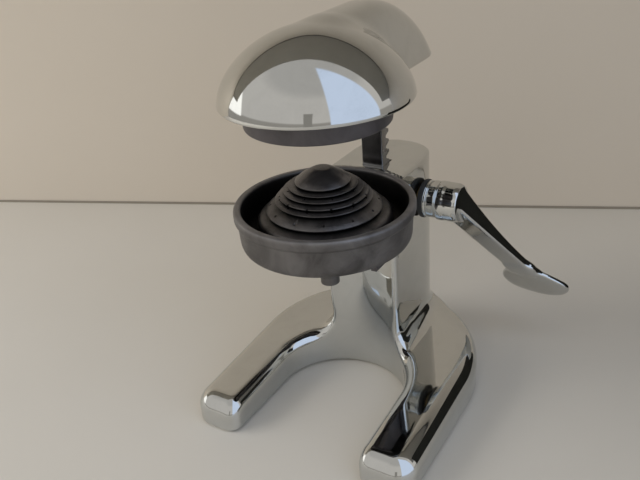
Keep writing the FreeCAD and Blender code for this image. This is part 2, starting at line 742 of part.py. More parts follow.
strainer_blank = turned("StrainerBlank", strainer_outline())
drain_tools = []
HOLES = (("second", 8, 0.0), ("third", 12, 10.0), ("fourth", 12, 0.0))
for step, count, start in HOLES:
    ring = size(step + "_radius") - 2.6
    for k in range(count):
        turn = math.radians(start + 360.0 * k / count)
        spot = V(ring * math.cos(turn), ring * math.sin(turn), size(step + "_edge") - 9)
        drain_tools.append(cylinder("Drain_%s_%d" % (step, k), "1.1", "18", spot))
SLOTS = 12
for k in range(SLOTS):
    turn = 360.0 * (k + 0.5) / SLOTS
    slot = block("Slot%d" % k, V(0, -1.5, 0), V(8, 1.5, 6))
    way = FreeCAD.Rotation(V(0, 0, 1), turn)
    slot.Placement = FreeCAD.Placement(
        way.multVec(V(size("strainer_radius") - 5, -1.5, 0)) + V(0, 0, size("bowl_bottom") + 2), way)
    drain_tools.append(slot)
finish(cut("Strainer", strainer_blank, *drain_tools), "strainer_cone")

# Pressing cup, hollow underneath

crown_drop = size("cup_crown") - size("head_level")
cup_rim = size("head_level") - size("cup_drop")


def cup_outline():
    """Half outline: a domed hollow that clears the strainer, and a wall about it."""
    hollow = size("cup_radius") - size("cup_wall")
    depth = size("cup_crown") - cup_rim
    wall = size("cup_wall")
    inside = [(hollow * math.cos(math.radians(a)), cup_rim + depth * math.sin(math.radians(a)))
              for a in (90, 72, 54, 38, 24, 11, 0)]
    outside = [(size("cup_radius"), cup_rim), (size("cup_radius") + 1.2, size("head_level") - 1),
               (size("cup_radius") + 1.2, size("head_level") + 3),
               (size("cup_radius") - 4, size("head_level") + 9),
               (hollow * 0.62 + wall, size("cup_crown") - 1.5),
               (14.0, size("cup_crown") + wall + 1), (0.0, size("cup_crown") + wall + 1)]
    inside[0] = (0.0, size("cup_crown"))
    return inside + outside


cup_blank = turned("CupBlank", cup_outline())
cup_screw_radius = 9.5
cup_screw_turns = (90.0, 210.0, 330.0)


def about_bowl(radius, turn, level):
    return V(radius * math.cos(math.radians(turn)), radius * math.sin(math.radians(turn)), level)


cup_top = size("cup_crown") + size("cup_wall") + 1
cup_holes = [cylinder("CupHole%d" % i, "2.2", "20", about_bowl(cup_screw_radius, turn, cup_top - 15))
             for i, turn in enumerate(cup_screw_turns)]
finish(cut("PressingCup", cup_blank, *cup_holes), "pressing_cup")

# Head shell: a dome over the bowl with a tail over the column

def head_distance(spot, shrink):
    """Below zero inside the head; a smooth union of the dome and the tail."""
    up = max(spot.z - size("head_level"), 0.0)
    flat = math.hypot(spot.x, spot.y) / (size("head_radius") - shrink)
    dome = (flat ** 1.78 + (up / (size("head_rise") - shrink)) ** 1.78) ** (1 / 1.78)
    half = size("tail_half") - shrink
    centre = size("tail_back") - size("tail_half")
    beyond = max(spot.y - centre, 0.0) + min(spot.y, 0.0)
    across = math.hypot(spot.x, beyond) / half
    fall = min(max(spot.y - size("tail_fall_start"), 0.0) / size("tail_fall_length"), 0.98)
    rise = max((size("tail_rise") - shrink) * math.sqrt(1 - fall ** 2), 1.0)
    tail = (across ** 2.72 + (up / rise) ** 1.5) ** (1 / 2.11)
    dome_gap = (dome - 1) * 46
    tail_gap = (tail - 1) * 26
    blend = 5.95
    mix = max(blend - abs(dome_gap - tail_gap), 0.0) / blend
    return min(dome_gap, tail_gap) - mix * mix * blend / 4


def head_section(level, shrink):
    """One closed outline of the head at a level, found along rays from its middle."""
    middle = V(0, 22, level)
    around = 36
    spots = []
    for k in range(around):
        turn = 2 * math.pi * (k + 0.5) / around
        ray = V(math.cos(turn), math.sin(turn), 0)
        low = 0.0
        high = 120.0
        for _ in range(36):
            trial = (low + high) / 2
            if head_distance(middle + ray * trial, shrink) < 0:
                low = trial
            else:
                high = trial
        spots.append(middle + ray * low)
    curve = Part.BSplineCurve()
    curve.interpolate(Points=spots, PeriodicFlag=True, Parameters=[k / around for k in range(around + 1)])
    return Part.Wire(curve.toShape())


def head_solid(shrink, drop):
    """The head lofted from its rim to its crown; the drop lowers its flat underside."""
    rise = size("head_rise") - shrink
    shares = (0.0, 0.1, 0.22, 0.36, 0.5, 0.64, 0.76, 0.86, 0.93, 0.97, 0.99)
    wires = [head_section(size("head_level") + rise * share, shrink) for share in shares]
    solid = Part.makeLoft(wires, True, False)
    if drop:
        solid = solid.fuse(Part.Face(wires[0]).extrude(V(0, 0, -drop)))
    return solid


outer_head = feature("HeadOuter", head_solid(0.0, 0))
inner_head = feature("HeadInner", head_solid(size("head_wall"), 3))
pocket_half = size("rack_width") / 2 + 0.1
block_half = pocket_half + 5
block_top = size("rack_top") + 4
rack_block = block("RackBlock", V(-block_half, size("rack_front") - 6, size("head_level") + 1),
                   V(block_half, rack_back + 6, size("head_level") + 45))
cup_boss = cylinder("CupBoss", "14", "40", V(0, 0, cup_top + 0.1))
inner_fill = doc.addObject("Part::MultiCommon", "HeadInnerFill")
inner_fill.Shapes = [join("HeadBosses", rack_block, cup_boss), feature("HeadInnerCopy", head_solid(0.6, 0))]
head_hollow = cut("HeadHollow", outer_head, inner_head)
head_full = join("HeadFull", head_hollow, inner_fill)
pocket = block("RackPocket", V(-pocket_half, size("rack_front") - 0.1, size("head_level") - 5),
               V(pocket_half, rack_back + 0.1, size("rack_top") + 0.2))
head_screw_holes = [cylinder("HeadScrewHole%d" % i, "2.6", "8", V(0, size("rack_front") - 7, level), V(0, 1, 0))
                    for i, level in enumerate(rack_screw_levels)]
head_threads = [cylinder("HeadThread%d" % i, "2.0", "12", about_bowl(cup_screw_radius, turn, cup_top))
                for i, turn in enumerate(cup_screw_turns)]
finish(cut("HeadShell", head_full, pocket, *head_screw_holes, *head_threads), "head_shell")

# Screws in the head

cup_screws = []
for i, turn in enumerate(cup_screw_turns):
    low = cup_top - size("cup_wall") - 1
    stem = cylinder("CupScrewStem%d" % i, "1.9", "13", about_bowl(cup_screw_radius, turn, low - 1.9))
    cap = cylinder("CupScrewCap%d" % i, "3.0", "1.3", about_bowl(cup_screw_radius, turn, low - 3.1))
    cup_screws.append(join("CupScrew%d" % i, stem, cap))
finish(join("CupScrews", *cup_screws), "cup_screws")
rack_screws = []
for i, level in enumerate(rack_screw_levels):
    stem = cylinder("RackScrewStem%d" % i, "2.0", "14", V(0, size("rack_front") - 6.2, level), V(0, 1, 0))
    cap = cylinder("RackScrewCap%d" % i, "3.8", "3.5", V(0, size("rack_front") - 9.6, level), V(0, 1, 0))
    rack_screws.append(join("RackScrew%d" % i, stem, cap))
finish(join("RackScrews", *rack_screws), "rack_screws")

# Bowl support: a ring on two gussets, screwed to the front of the column

def support_solid():
    """Ring, arms and gussets, trimmed to the column's hollow front."""
    top = funnel_seat - 0.2
    low = top - size("ring_thick")
    ring = Part.makeCylinder(size("ring_radius"), size("ring_thick"), V(0, 0, low))
    reach = size("arch_centre") + size("arch_radius")
    half = size("ring_radius") - 0.5
    arms = Part.makeBox(2 * half, reach, size("ring_thick"), V(-half, 0, low))
    back_plate = Part.makeBox(2 * half, 22, low + 1 - 96, V(-half, reach - 22, 96))
    web = Part.makePolygon([V(0, 6, low + 1), V(0, reach, low + 1), V(0, reach, 96), V(0, reach - 12, 96),
                            V(0, 6, low - 2), V(0, 6, low + 1)])
    webs = []
    for x in (-half, half - 4):
        side = Part.Face(web).extrude(V(4, 0, 0))
        side.translate(V(x, 0, 0))
        webs.append(side)
    whole = ring.fuse([arms, back_plate] + webs)
    front = Part.makeCylinder(size("arch_radius") - 0.1, 200, V(0, size("arch_centre"), 0))
    room = Part.makeCylinder(size("boss_radius") + 0.6, 60, V(0, 0, low - 10))
    window = Part.makeBox(2 * half - 8, reach - 9.5, 40, V(-half + 4, 0, low - 40))
    return whole.common(front).cut(room).cut(window)


support_blank = feature("SupportBlank", support_solid())
support_face = size("arch_centre") + math.sqrt(size("arch_radius") ** 2 - ring_screw_x ** 2)
support_plate = size("arch_centre") + size("arch_radius") - 9.5
support_holes = []
support_screws = []
for i, x in enumerate((ring_screw_x, -ring_screw_x)):
    support_holes.append(cylinder("SupportHole%d" % i, "1.9", "30", V(x, support_face - 25, ring_screw_z),
                                  V(0, 1, 0)))
    stem = cylinder("SupportScrewStem%d" % i, "1.65", "17", V(x, support_face - 8, ring_screw_z), V(0, 1, 0))
    cap = cylinder("SupportScrewCap%d" % i, "3", "2.5", V(x, support_plate - 2.6, ring_screw_z), V(0, 1, 0))
    support_screws.append(join("SupportScrew%d" % i, stem, cap))
finish(cut("BowlSupport", support_blank, *support_holes), "bowl_support")
finish(join("SupportScrews", *support_screws), "bowl_support_screws")

# Check every object, then write each piece

shift = V(size("origin_right"), size("origin_back"), 0)
for piece in pieces:
    piece.Placement.Base = piece.Placement.Base - shift

doc.recompute()
for obj in doc.Objects:
    if "Invalid" in obj.State or "Error" in obj.State:
        raise RuntimeError("failed: " + obj.Name)
for piece in pieces:
    if piece.Shape.isNull() or not piece.Shape.isValid():
        raise RuntimeError("bad shape: " + piece.Label)

os.makedirs("parts", exist_ok=True)
for piece in pieces:
    piece.Shape.exportStep("parts/" + piece.Label + ".step")
    print(piece.Label, len(piece.Shape.Solids), round(piece.Shape.Volume / 1000, 2), "cm3")
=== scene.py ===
import bpy, bmesh, json, math
import numpy as np
from mathutils import Matrix, Vector


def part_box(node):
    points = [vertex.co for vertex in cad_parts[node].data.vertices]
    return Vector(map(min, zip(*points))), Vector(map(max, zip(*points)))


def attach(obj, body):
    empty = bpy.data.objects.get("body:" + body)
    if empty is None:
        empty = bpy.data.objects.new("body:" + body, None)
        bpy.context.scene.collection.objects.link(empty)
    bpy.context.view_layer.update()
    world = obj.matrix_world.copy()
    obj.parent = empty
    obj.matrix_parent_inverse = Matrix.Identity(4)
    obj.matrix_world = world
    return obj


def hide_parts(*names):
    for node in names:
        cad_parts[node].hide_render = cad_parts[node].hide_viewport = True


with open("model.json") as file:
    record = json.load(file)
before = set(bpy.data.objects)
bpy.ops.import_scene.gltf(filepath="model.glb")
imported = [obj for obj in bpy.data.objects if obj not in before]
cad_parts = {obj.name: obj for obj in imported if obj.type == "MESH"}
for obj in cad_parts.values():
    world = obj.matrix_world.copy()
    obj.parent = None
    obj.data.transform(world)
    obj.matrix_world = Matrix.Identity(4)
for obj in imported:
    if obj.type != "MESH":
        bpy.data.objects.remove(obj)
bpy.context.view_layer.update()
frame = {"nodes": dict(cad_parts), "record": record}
nodes = frame["nodes"]

# Shapes are in mm about the bowl's axis, as in the CAD; middle is where that axis stands, in metres
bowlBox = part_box("bowl")
middle = np.array([(bowlBox[0][0] + bowlBox[1][0]) / 2, (bowlBox[0][1] + bowlBox[1][1]) / 2, 0.0])
axle = dict(y=82.45, z=125.0)


# Mesh helpers

def makeObject(name, verts, faces):  # mm about the bowl's axis go in, metres come out
    points = np.asarray(verts, dtype=float) / 1000 + middle
    mesh = bpy.data.meshes.new(name)
    mesh.from_pydata(points.tolist(), [], [list(map(int, face)) for face in faces])
    mesh.validate()
    mesh.update()
    mesh.shade_smooth()
    obj = bpy.data.objects.new(name, mesh)
    bpy.context.scene.collection.objects.link(obj)
    return obj


def closeUp(obj, gap):  # merges the doubled points of seams and poles, then turns the faces outwards
    bm = bmesh.new()
    bm.from_mesh(obj.data)
    bmesh.ops.remove_doubles(bm, verts=bm.verts, dist=gap)
    bmesh.ops.recalc_face_normals(bm, faces=bm.faces)
    bm.to_mesh(obj.data)
    bm.free()
    obj.data.shade_smooth()
    return obj


def gridFaces(rows, around):  # quads between rows of points that each close on themselves
    i, j = np.meshgrid(np.arange(rows - 1), np.arange(around), indexing="ij")
    k = (j + 1) % around
    corners = [i * around + j, i * around + k, (i + 1) * around + k, (i + 1) * around + j]
    return np.stack(corners, -1).reshape(-1, 4)


def roundCorners(points, radii, steps):  # each corner becomes a quadratic curve that starts a radius away
    points = np.asarray(points, dtype=float)
    out = [points[0]]
    for k in range(1, len(points) - 1):
        before, here, after = points[k - 1], points[k], points[k + 1]
        if radii[k] <= 0:
            out.append(here)
            continue
        a, b = before - here, after - here
        longA, longB = np.hypot(*a), np.hypot(*b)
        reach = min(radii[k], longA * 0.48, longB * 0.48)
        start, end = here + a / longA * reach, here + b / longB * reach
        t = np.linspace(0, 1, steps + 1)[:, None]
        out.extend(start * (1 - t) ** 2 + here * 2 * t * (1 - t) + end * t ** 2)
    out.append(points[-1])
    return np.array(out)


# A turned surface: point = (radius cos angle, radius sin angle, height) for a profile of radius and height
def turned(name, profile, around=192, ring=True, axis="z", centre=(0, 0, 0)):
    profile = np.asarray(profile, dtype=float)
    angle = np.linspace(0, 2 * math.pi, around, endpoint=False)
    radius, height = profile[:, 0][:, None], profile[:, 1][:, None]
    verts = np.stack([radius * np.cos(angle), radius * np.sin(angle), height + 0 * angle], -1)
    if axis == "x":
        verts = verts[..., [2, 0, 1]]
    faces = gridFaces(len(profile), around)
    if ring:  # the profile closes on itself, so its last row joins its first
        j = np.arange(around)
        k = (j + 1) % around
        last = (len(profile) - 1) * around
        faces = np.concatenate([faces, np.stack([last + j, last + k, k, j], -1)])
    return closeUp(makeObject(name, verts.reshape(-1, 3) + np.array(centre), faces), 1e-6)


# Signed fields, negative inside, in mm

def roundMax(a, b, r):  # what lies in both, with a fillet of radius r at the edge
    return np.minimum(np.maximum(a + r, b + r), 0) + np.hypot(np.maximum(a + r, 0), np.maximum(b + r, 0)) - r


def roundMin(a, b, r):  # what lies in either, with a fillet in the corner between them
    return -roundMax(-a, -b, r)


def boxField(p, low, high, r):
    low, high = np.array(low), np.array(high)
    q = np.abs(p - (low + high) / 2) - (high - low) / 2 + r
    return np.linalg.norm(np.maximum(q, 0), axis=-1) + np.minimum(q.max(-1), 0) - r


def fade(value, start, length):  # 0 before start, 1 a length later
    return np.clip((value - start) / length, 0, 1)


def slopeOf(field, p, step=0.02):
    out = np.empty_like(p)
    for k in range(3):
        shift = np.zeros(3)
        shift[k] = step
        out[:, k] = (field(p + shift) - field(p - shift)) / (2 * step)
    return out


net = dict(rounds=3, slide=0.6, pulls=3, flattest=0.04, longest=0.7)


# One point in every cell that the surface crosses, at the mean of the crossings on the cell's edges
def crossedCells(field, low, high, cell):
    counts = np.ceil((high - low) / cell).astype(int) + 1
    axes = [low[k] + cell * np.arange(counts[k]) for k in range(3)]
    value = np.empty(counts)
    for i in range(counts[0]):
        y, z = np.meshgrid(axes[1], axes[2], indexing="ij")
        value[i] = field(np.stack([np.full_like(y, axes[0][i]), y, z], -1))
    inside = value < 0
    cells = counts - 1
    total = np.zeros(tuple(cells) + (3,))
    number = np.zeros(tuple(cells))
    edges = []
    for axis in range(3):
        start = tuple(slice(0, counts[k] - (k == axis)) for k in range(3))
        end = tuple(slice(1 if k == axis else 0, counts[k]) for k in range(3))
        crossed = np.argwhere(inside[start] != inside[end])
        at = tuple(crossed.T)
        a, b = value[start][at], value[end][at]
        spot = np.stack([axes[k][crossed[:, k]] for k in range(3)], -1)
        spot[:, axis] += a / (a - b) * cell
        u, v = (axis + 1) % 3, (axis + 2) % 3
        ring = []
        for du, dv in ((-1, -1), (0, -1), (0, 0), (-1, 0)):
            beside = crossed.copy()
            beside[:, u] += du
            beside[:, v] += dv
            ring.append(beside)
            good = ((beside >= 0) & (beside < cells)).all(1)
            np.add.at(total, tuple(beside[good].T), spot[good])
            np.add.at(number, tuple(beside[good].T), 1)
        edges.append((ring, inside[start][at]))
    used = number > 0
    index = -np.ones(tuple(cells), dtype=int)
    index[used] = np.arange(used.sum())
    faces = []
    for ring, solid in edges:
        quad = np.stack([index[tuple(beside.T)] for beside in ring], -1)
        quad[~solid] = quad[~solid][:, ::-1]
        faces.append(quad)
    return total[used] / number[used][:, None], np.concatenate(faces)


# The zero surface of a field as quads: the crossed cells' points slide to even out, and are pulled back
# by the field's value along its slope
def surfaceNet(field, low, high, cell):
    verts, faces = crossedCells(field, np.array(low, float), np.array(high, float), cell)
    pairs = np.concatenate([faces[:, [0, 1]], faces[:, [1, 2]], faces[:, [2, 3]], faces[:, [3, 0]]])
    for turn in range(net["rounds"]):
        mean = np.zeros_like(verts)
        count = np.zeros(len(verts))
        for here, there in ((0, 1), (1, 0)):
            np.add.at(mean, pairs[:, here], verts[pairs[:, there]])
            np.add.at(count, pairs[:, here], 1)
        mean /= np.maximum(count, 1)[:, None]
        if turn < net["rounds"] - 1:
            normal = slopeOf(field, verts)
            normal /= np.maximum(np.linalg.norm(normal, axis=1), 1e-6)[:, None]
            move = mean - verts
            verts = verts + net["slide"] * (move - normal * (move * normal).sum(1)[:, None])
        for _ in range(net["pulls"]):
            gradient = slopeOf(field, verts)
            size = np.maximum((gradient ** 2).sum(1), net["flattest"])
            shift = -(field(verts) / size)[:, None] * gradient
            long = np.linalg.norm(shift, axis=1)
            shift *= np.minimum(1, net["longest"] * cell / np.maximum(long, 1e-9))[:, None]
            verts = verts + shift
    return verts, faces


def carve(obj, *cutters):  # cuts the cutters out for good and removes them
    for cutter in cutters:
        change = obj.modifiers.new("carve", "BOOLEAN")
        change.operation = "DIFFERENCE"
        change.solver = "EXACT"
        change.object = cutter
    bpy.context.view_layer.update()
    done = bpy.data.meshes.new_from_object(obj.evaluated_get(bpy.context.evaluated_depsgraph_get()))
    obj.modifiers.clear()
    obj.data = done
    for cutter in cutters:
        bpy.data.objects.remove(cutter)


def cutterBox(low, high):
    x0, y0, z0 = low
    x1, y1, z1 = high
    verts = [(x, y, z) for z in (z0, z1) for x, y in ((x0, y0), (x1, y0), (x1, y1), (x0, y1))]
    faces = [(0, 3, 2, 1), (4, 5, 6, 7), (0, 1, 5, 4), (1, 2, 6, 5), (2, 3, 7, 6), (3, 0, 4, 7)]
    return makeObject("cutter", verts, faces)


def cutterRod(radius, start, end, axis="z", around=32):
    angle = np.linspace(0, 2 * math.pi, around, endpoint=False)
    ring = np.stack([0 * angle, radius * np.cos(angle), radius * np.sin(angle)], -1)
    if axis == "z":
        ring = ring[:, [1, 2, 0]]
    j = np.arange(around)
    k = (j + 1) % around
    sides = np.stack([j, k, around + k, around + j], -1).tolist()
    ends = [list(j[::-1]), list(around + j)]
    return makeObject("cutter", np.concatenate([ring + np.array(start), ring + np.array(end)]), sides + ends)


# Casting: horseshoe base and column

base = dict(front=-61.0, centre=34.0, outer=81.0, archRadius=45.0, archCentre=1.0, frontHeight=22.0,
            rearHeight=33.0, depth=176.0, stand=1.0, wall=7.0, endRound=15.0, topRound=12.5, rearTopRound=2.0,
            archRound=8.5, footRound=1.5, hollowRound=3.0, hollowEdge=1.0)
foot = dict(spots=((62, -43), (52, 74)), boss=12.6, bossRound=1.5)
column = dict(half=28.0, backDepth=22.0, back=114.5, top=152.0, sideRound=6.0, topRound=1.3, flare=17.0,
              leastFlare=0.45, flareFrom=60.0, flareFade=50.0, edgeRound=5.0, edgeFrom=34.0, edgeFade=20.0,
              rearFrom=80.0, rearFade=25.0, rearHalf=18.0, rearSide=22.0)
recess = dict(radius=58.0, level=118.0, floorRound=1.0, edgeRound=1.2)  # room for the bowl
casting = dict(low=(-83, -63, -1), high=(83, 117, 154), cell=1.3, quickCell=2.2,
               rackSlot=((-7.7, 62.3, 45.0), (7.7, 76.8, 160.0)),
               pinionRoom=((-13.0, 66.0, -5.0), (13.0, 97.0, 142.0)),
               core=((-20.5, 59.0, -5.0), (20.5, 104.0, 100.0)), shaftBore=8.11)


def outerPlan(p, inset=0.0):  # straight sides in front of the centre, a half disc behind it
    disc = np.hypot(p[..., 0], p[..., 1] - base["centre"]) - base["outer"]
    strip = np.abs(p[..., 0]) - base["outer"]
    plan = np.where(p[..., 1] > base["centre"], disc, strip)
    return roundMax(plan, base["front"] - p[..., 1], base["endRound"]) + inset


def archPlan(p, inset=0.0):  # all that lies outside the arch between the legs
    disc = base["archRadius"] - np.hypot(p[..., 0], p[..., 1] - base["archCentre"])
    strip = base["archRadius"] - np.abs(p[..., 0])
    return np.where(p[..., 1] > base["archCentre"], disc, strip) + inset


def topPlane(p):  # below the sloping top of the legs
    rise = (base["rearHeight"] - base["frontHeight"]) / base["depth"]
    return (p[..., 2] - base["frontHeight"] - rise * (p[..., 1] - base["front"])) / math.hypot(1, rise)


def columnField(p):  # flat sides and a back that is an arc through both of them
    half, deep = column["half"], column["backDepth"]
    radius = (half ** 2 + deep ** 2) / (2 * deep)
    back = np.hypot(p[..., 0], np.maximum(p[..., 1] - (column["back"] - radius), 0)) - radius
    return roundMax(np.abs(p[..., 0]) - half, back, column["sideRound"])


# The slab of the legs and the column, blended, cut by the plan, the arch, the recess and the hollow
def bodyField(p):
    x, y, z = p[..., 0], p[..., 1], p[..., 2]
    slab = topPlane(p)
    least = column["leastFlare"]
    flare = column["flare"] * (least + (1 - least) * (1 - fade(y, column["flareFrom"], column["flareFade"])))
    nearColumn = fade(z, column["edgeFrom"], column["edgeFade"])
    aside = fade(np.abs(x), column["rearHalf"], column["rearSide"])
    rear = fade(y, column["rearFrom"], column["rearFade"]) * (1 - aside)
    whole = roundMin(slab, columnField(p), flare)
    whole = roundMax(whole, outerPlan(p), base["topRound"] * (1 - rear) + base["rearTopRound"] * rear)
    archEdge = base["archRound"] * (1 - nearColumn) + column["edgeRound"] * nearColumn
    whole = roundMax(whole, archPlan(p), archEdge)
    cutter = roundMax(np.hypot(x, y) - recess["radius"], recess["level"] - z, recess["floorRound"])
    whole = roundMax(whole, -cutter, recess["edgeRound"])
    whole = roundMax(whole, z - column["top"], column["topRound"])
    whole = roundMax(whole, base["stand"] - z, base["footRound"])
    walls = roundMax(outerPlan(p, base["wall"]), archPlan(p, base["wall"]), base["hollowRound"])
    hollow = roundMax(walls, slab + base["wall"], base["hollowRound"])
    for footX, footY in foot["spots"]:
        boss = np.hypot(np.abs(x) - footX, y - footY) - foot["boss"]
        hollow = roundMax(hollow, -boss, foot["bossRound"])
    return roundMax(whole, -hollow, base["hollowEdge"])


cell = casting["cell"]
bodyPiece = makeObject("bodyCasting", *surfaceNet(bodyField, casting["low"], casting["high"], cell))
carve(bodyPiece, *[cutterBox(*casting[key]) for key in ("rackSlot", "pinionRoom", "core")],
      cutterRod(casting["shaftBore"], (-40, axle["y"], axle["z"]), (40, axle["y"], axle["z"]), "x", 64))
bodyPiece.data.shade_smooth()
bodyPiece.data.set_sharp_from_angle(angle=math.radians(42))
print("casting", len(bodyPiece.data.polygons))


# Head: a dome with a tail, and inside it the block that holds the rack and the post that holds the cup

head = dict(radius=56.0, level=217.4, rise=42.6, crown=42.6, crownSoft=0.2, wall=3.4, power=1.78, domeSpan=46,
            tailRise=42.4, tailHalf=27.0, tailBack=119.7, tailFront=20.0, fallStart=53.0, fallLength=55.0,
            tailAcross=2.72, tailUp=1.5, tailPower=2.11, tailSpan=26, blend=5.95,
            around=288, outerRows=90, innerRows=40, heart=24.0, far=140.0, halvings=44,
            lip=((0.0, 1.2), (0.03, 0.55), (0.12, 0.15), (0.28, 0.0), (0.72, 0.0), (0.9, 0.2), (1.0, 0.8)))
boss = dict(blockLow=(-12.5, 56.5, 218.6), blockHigh=(12.5, 79.0, 262.0), blockRound=2.0, postRadius=14.0,
            postFoot=238.2, postRound=1.5, blend=0.5, skin=1.6, low=(-18, -18, 214), high=(18, 84, 262),
            cell=1.2, quickCell=2.0, rackRoom=((-7.6, 62.4, 210.0), (7.6, 73.1, 243.2)), screwBore=2.0)
cupScrews = [(9.5 * math.cos(a), 9.5 * math.sin(a)) for a in (math.pi / 2, math.pi * 7 / 6, math.pi * 11 / 6)]


# The dome is a rounded cone section, (flat^n + up^n)^(1/n) = 1, with a softened crown; the tail is a
# capsule in plan whose height falls off as a quarter circle towards the back
def headField(p, shrink=0.0):
    x, y = p[..., 0], p[..., 1]
    up = np.maximum(p[..., 2] - head["level"], 0)
    soft = head["crownSoft"] ** 2
    flat = np.sqrt((np.hypot(x, y) / (head["radius"] - shrink)) ** 2 * (1 - soft) + soft)
    n = head["power"]
    dome = (flat ** n + (up / (head["rise"] - shrink)) ** n) ** (1 / n)
    beyond = np.maximum(y - (head["tailBack"] - head["tailHalf"]), 0) + np.minimum(y - head["tailFront"], 0)
    across = np.hypot(x, beyond) / (head["tailHalf"] - shrink)
    fall = np.minimum(fade(y, head["fallStart"], head["fallLength"]), 0.98)
    rise = np.maximum((head["tailRise"] - shrink) * np.sqrt(1 - fall ** 2), 1.0)
    tail = (across ** head["tailAcross"] + (up / rise) ** head["tailUp"]) ** (1 / head["tailPower"])
    a, b = (dome - 1) * head["domeSpan"], (tail - 1) * head["tailSpan"]
    mix = np.maximum(head["blend"] - np.abs(a - b), 0) / head["blend"]
    return np.minimum(a, b) - mix * mix * head["blend"] / 4


def headRays(shrink, elevations):  # where rays from the head's heart meet its surface, found by halving
    turn = np.linspace(0, 2 * math.pi, head["around"], endpoint=False)
    e, t = np.meshgrid(elevations, turn, indexing="ij")
    ray = np.stack([np.cos(e) * np.cos(t), np.cos(e) * np.sin(t), np.sin(e)], -1)
    start = np.array([0, head["heart"], head["level"]])
    near, far = np.zeros(e.shape), np.full(e.shape, head["far"])
    for _ in range(head["halvings"]):
        trial = (near + far) / 2
        inside = headField(start + ray * trial[..., None], shrink) < 0
        near = np.where(inside, trial, near)
        far = np.where(inside, far, trial)
    return start + ray * near[..., None]


def headShell():  # outer surface from the top down, round the lip, and up the inner surface
    outer = headRays(0.0, np.linspace(1, 0, head["outerRows"]) * math.pi / 2)
    inner = headRays(head["wall"], np.linspace(0, 1, head["innerRows"]) * math.pi / 2)
    lip = []
    for share, up in head["lip"]:
        row = outer[-1] + (inner[0] - outer[-1]) * share
        row[:, 2] = head["level"] + up
        lip.append(row)
    verts = np.concatenate([outer[:-2], np.array(lip), inner[2:]]).reshape(-1, 3)
    tallest = verts[:, 2].max() - head["level"]
    verts[:, 2] = head["level"] + (verts[:, 2] - head["level"]) * head["crown"] / tallest
    faces = gridFaces(len(verts) // head["around"], head["around"])
    return closeUp(makeObject("headShell", verts, faces), 2e-6)


def bossField(p):  # block and post, cut off just under the shell's outer surface
    block = boxField(p, boss["blockLow"], boss["blockHigh"], boss["blockRound"])
    reach = np.hypot(p[..., 0], p[..., 1]) - boss["postRadius"]
    post = roundMax(reach, boss["postFoot"] - p[..., 2], boss["postRound"])
    return np.maximum(roundMin(block, post, boss["blend"]), headField(p, boss["skin"]))


headPiece = headShell()
print("head", len(headPiece.data.polygons))
cell = boss["cell"]
bossPiece = makeObject("headBosses", *surfaceNet(bossField, boss["low"], boss["high"], cell))
carve(bossPiece, cutterBox(*boss["rackRoom"]),
      *[cutterRod(boss["screwBore"], spot + (237,), spot + (250,)) for spot in cupScrews])
bossPiece.data.set_sharp_from_angle(angle=math.radians(40))


# Lever: x along the axle, y along the arm and z away from the pushed face, turned down at the end

lever = dict(drop=55.0, face=7.0, hubFace=33.25, armFrom=-9, armTo=76, armLength=79, elbowAt=15.75, lean=0.52,
             slant=1.127, rootWidth=20.5, taper=1.5, tipThick=6.2, rootExtra=11.4, armRound=2.0,
             gripHalf=2.7, gripThin=0.9, gripBevel=9.0, gripRound=1.6, gripBlend=4.0, hubBlend=2.2,
             bore=6.04, boreEnd=51.2, low=(32.5, -15, -14.5), high=(120.5, 110.5, 14.5), cell=0.8,
             quickCell=1.6)
hubRings = dict(neck=(12.2, 11, 11, 0.8), shoulder=(13.2, 9.6, 3.0, 1.6), elbow=(12.9, 14.5, 7.3, 3.0))
gripPoints = [(-9.2, -4), (-11.6, 8), (-14.4, 15.3), (-14.4, 22.9), (-9.6, 31.3), (0, 36.3), (12, 38.2),
              (20.7, 36.7), (28.4, 32.1), (32.8, 25.2), (32.8, 19.1), (28.9, 14.1), (20.2, 7.6), (13, 2.7),
              (8.7, -4)]
gripPlace = (85.4, 70.0)


def smoothLoop(points, count):  # a closed Catmull-Rom curve through the points
    points = np.asarray(points, float)
    n = len(points)
    t = np.linspace(0, n, count, endpoint=False)
    i = t.astype(int)
    f = (t - i)[:, None]
    a, b, c, d = (points[(i + k) % n] for k in (-1, 0, 1, 2))
    bend, twist = 2 * a - 5 * b + 4 * c - d, 3 * b - a - 3 * c + d
    return 0.5 * (2 * b + (c - a) * f + bend * f ** 2 + twist * f ** 3)


def outlineField(x, y, outline):  # signed distance to a closed outline
    best = np.full(x.shape, 1e9)
    odd = np.zeros(x.shape, dtype=bool)
    for (x0, y0), (x1, y1) in zip(outline, np.roll(outline, -1, axis=0)):
        dx, dy = x1 - x0, y1 - y0
        t = np.clip(((x - x0) * dx + (y - y0) * dy) / (dx * dx + dy * dy), 0, 1)
        best = np.minimum(best, np.hypot(x - x0 - t * dx, y - y0 - t * dy))
        odd ^= ((y0 > y) != (y1 > y)) & (x < dx * (y - y0) / (dy if dy else 1e-9) + x0)
    return np.where(odd, -best, best)


def hubRing(x, ring, radius, at, half, edge):
    return roundMax(ring - radius, np.abs(x - lever["hubFace"] - at) - half, edge)


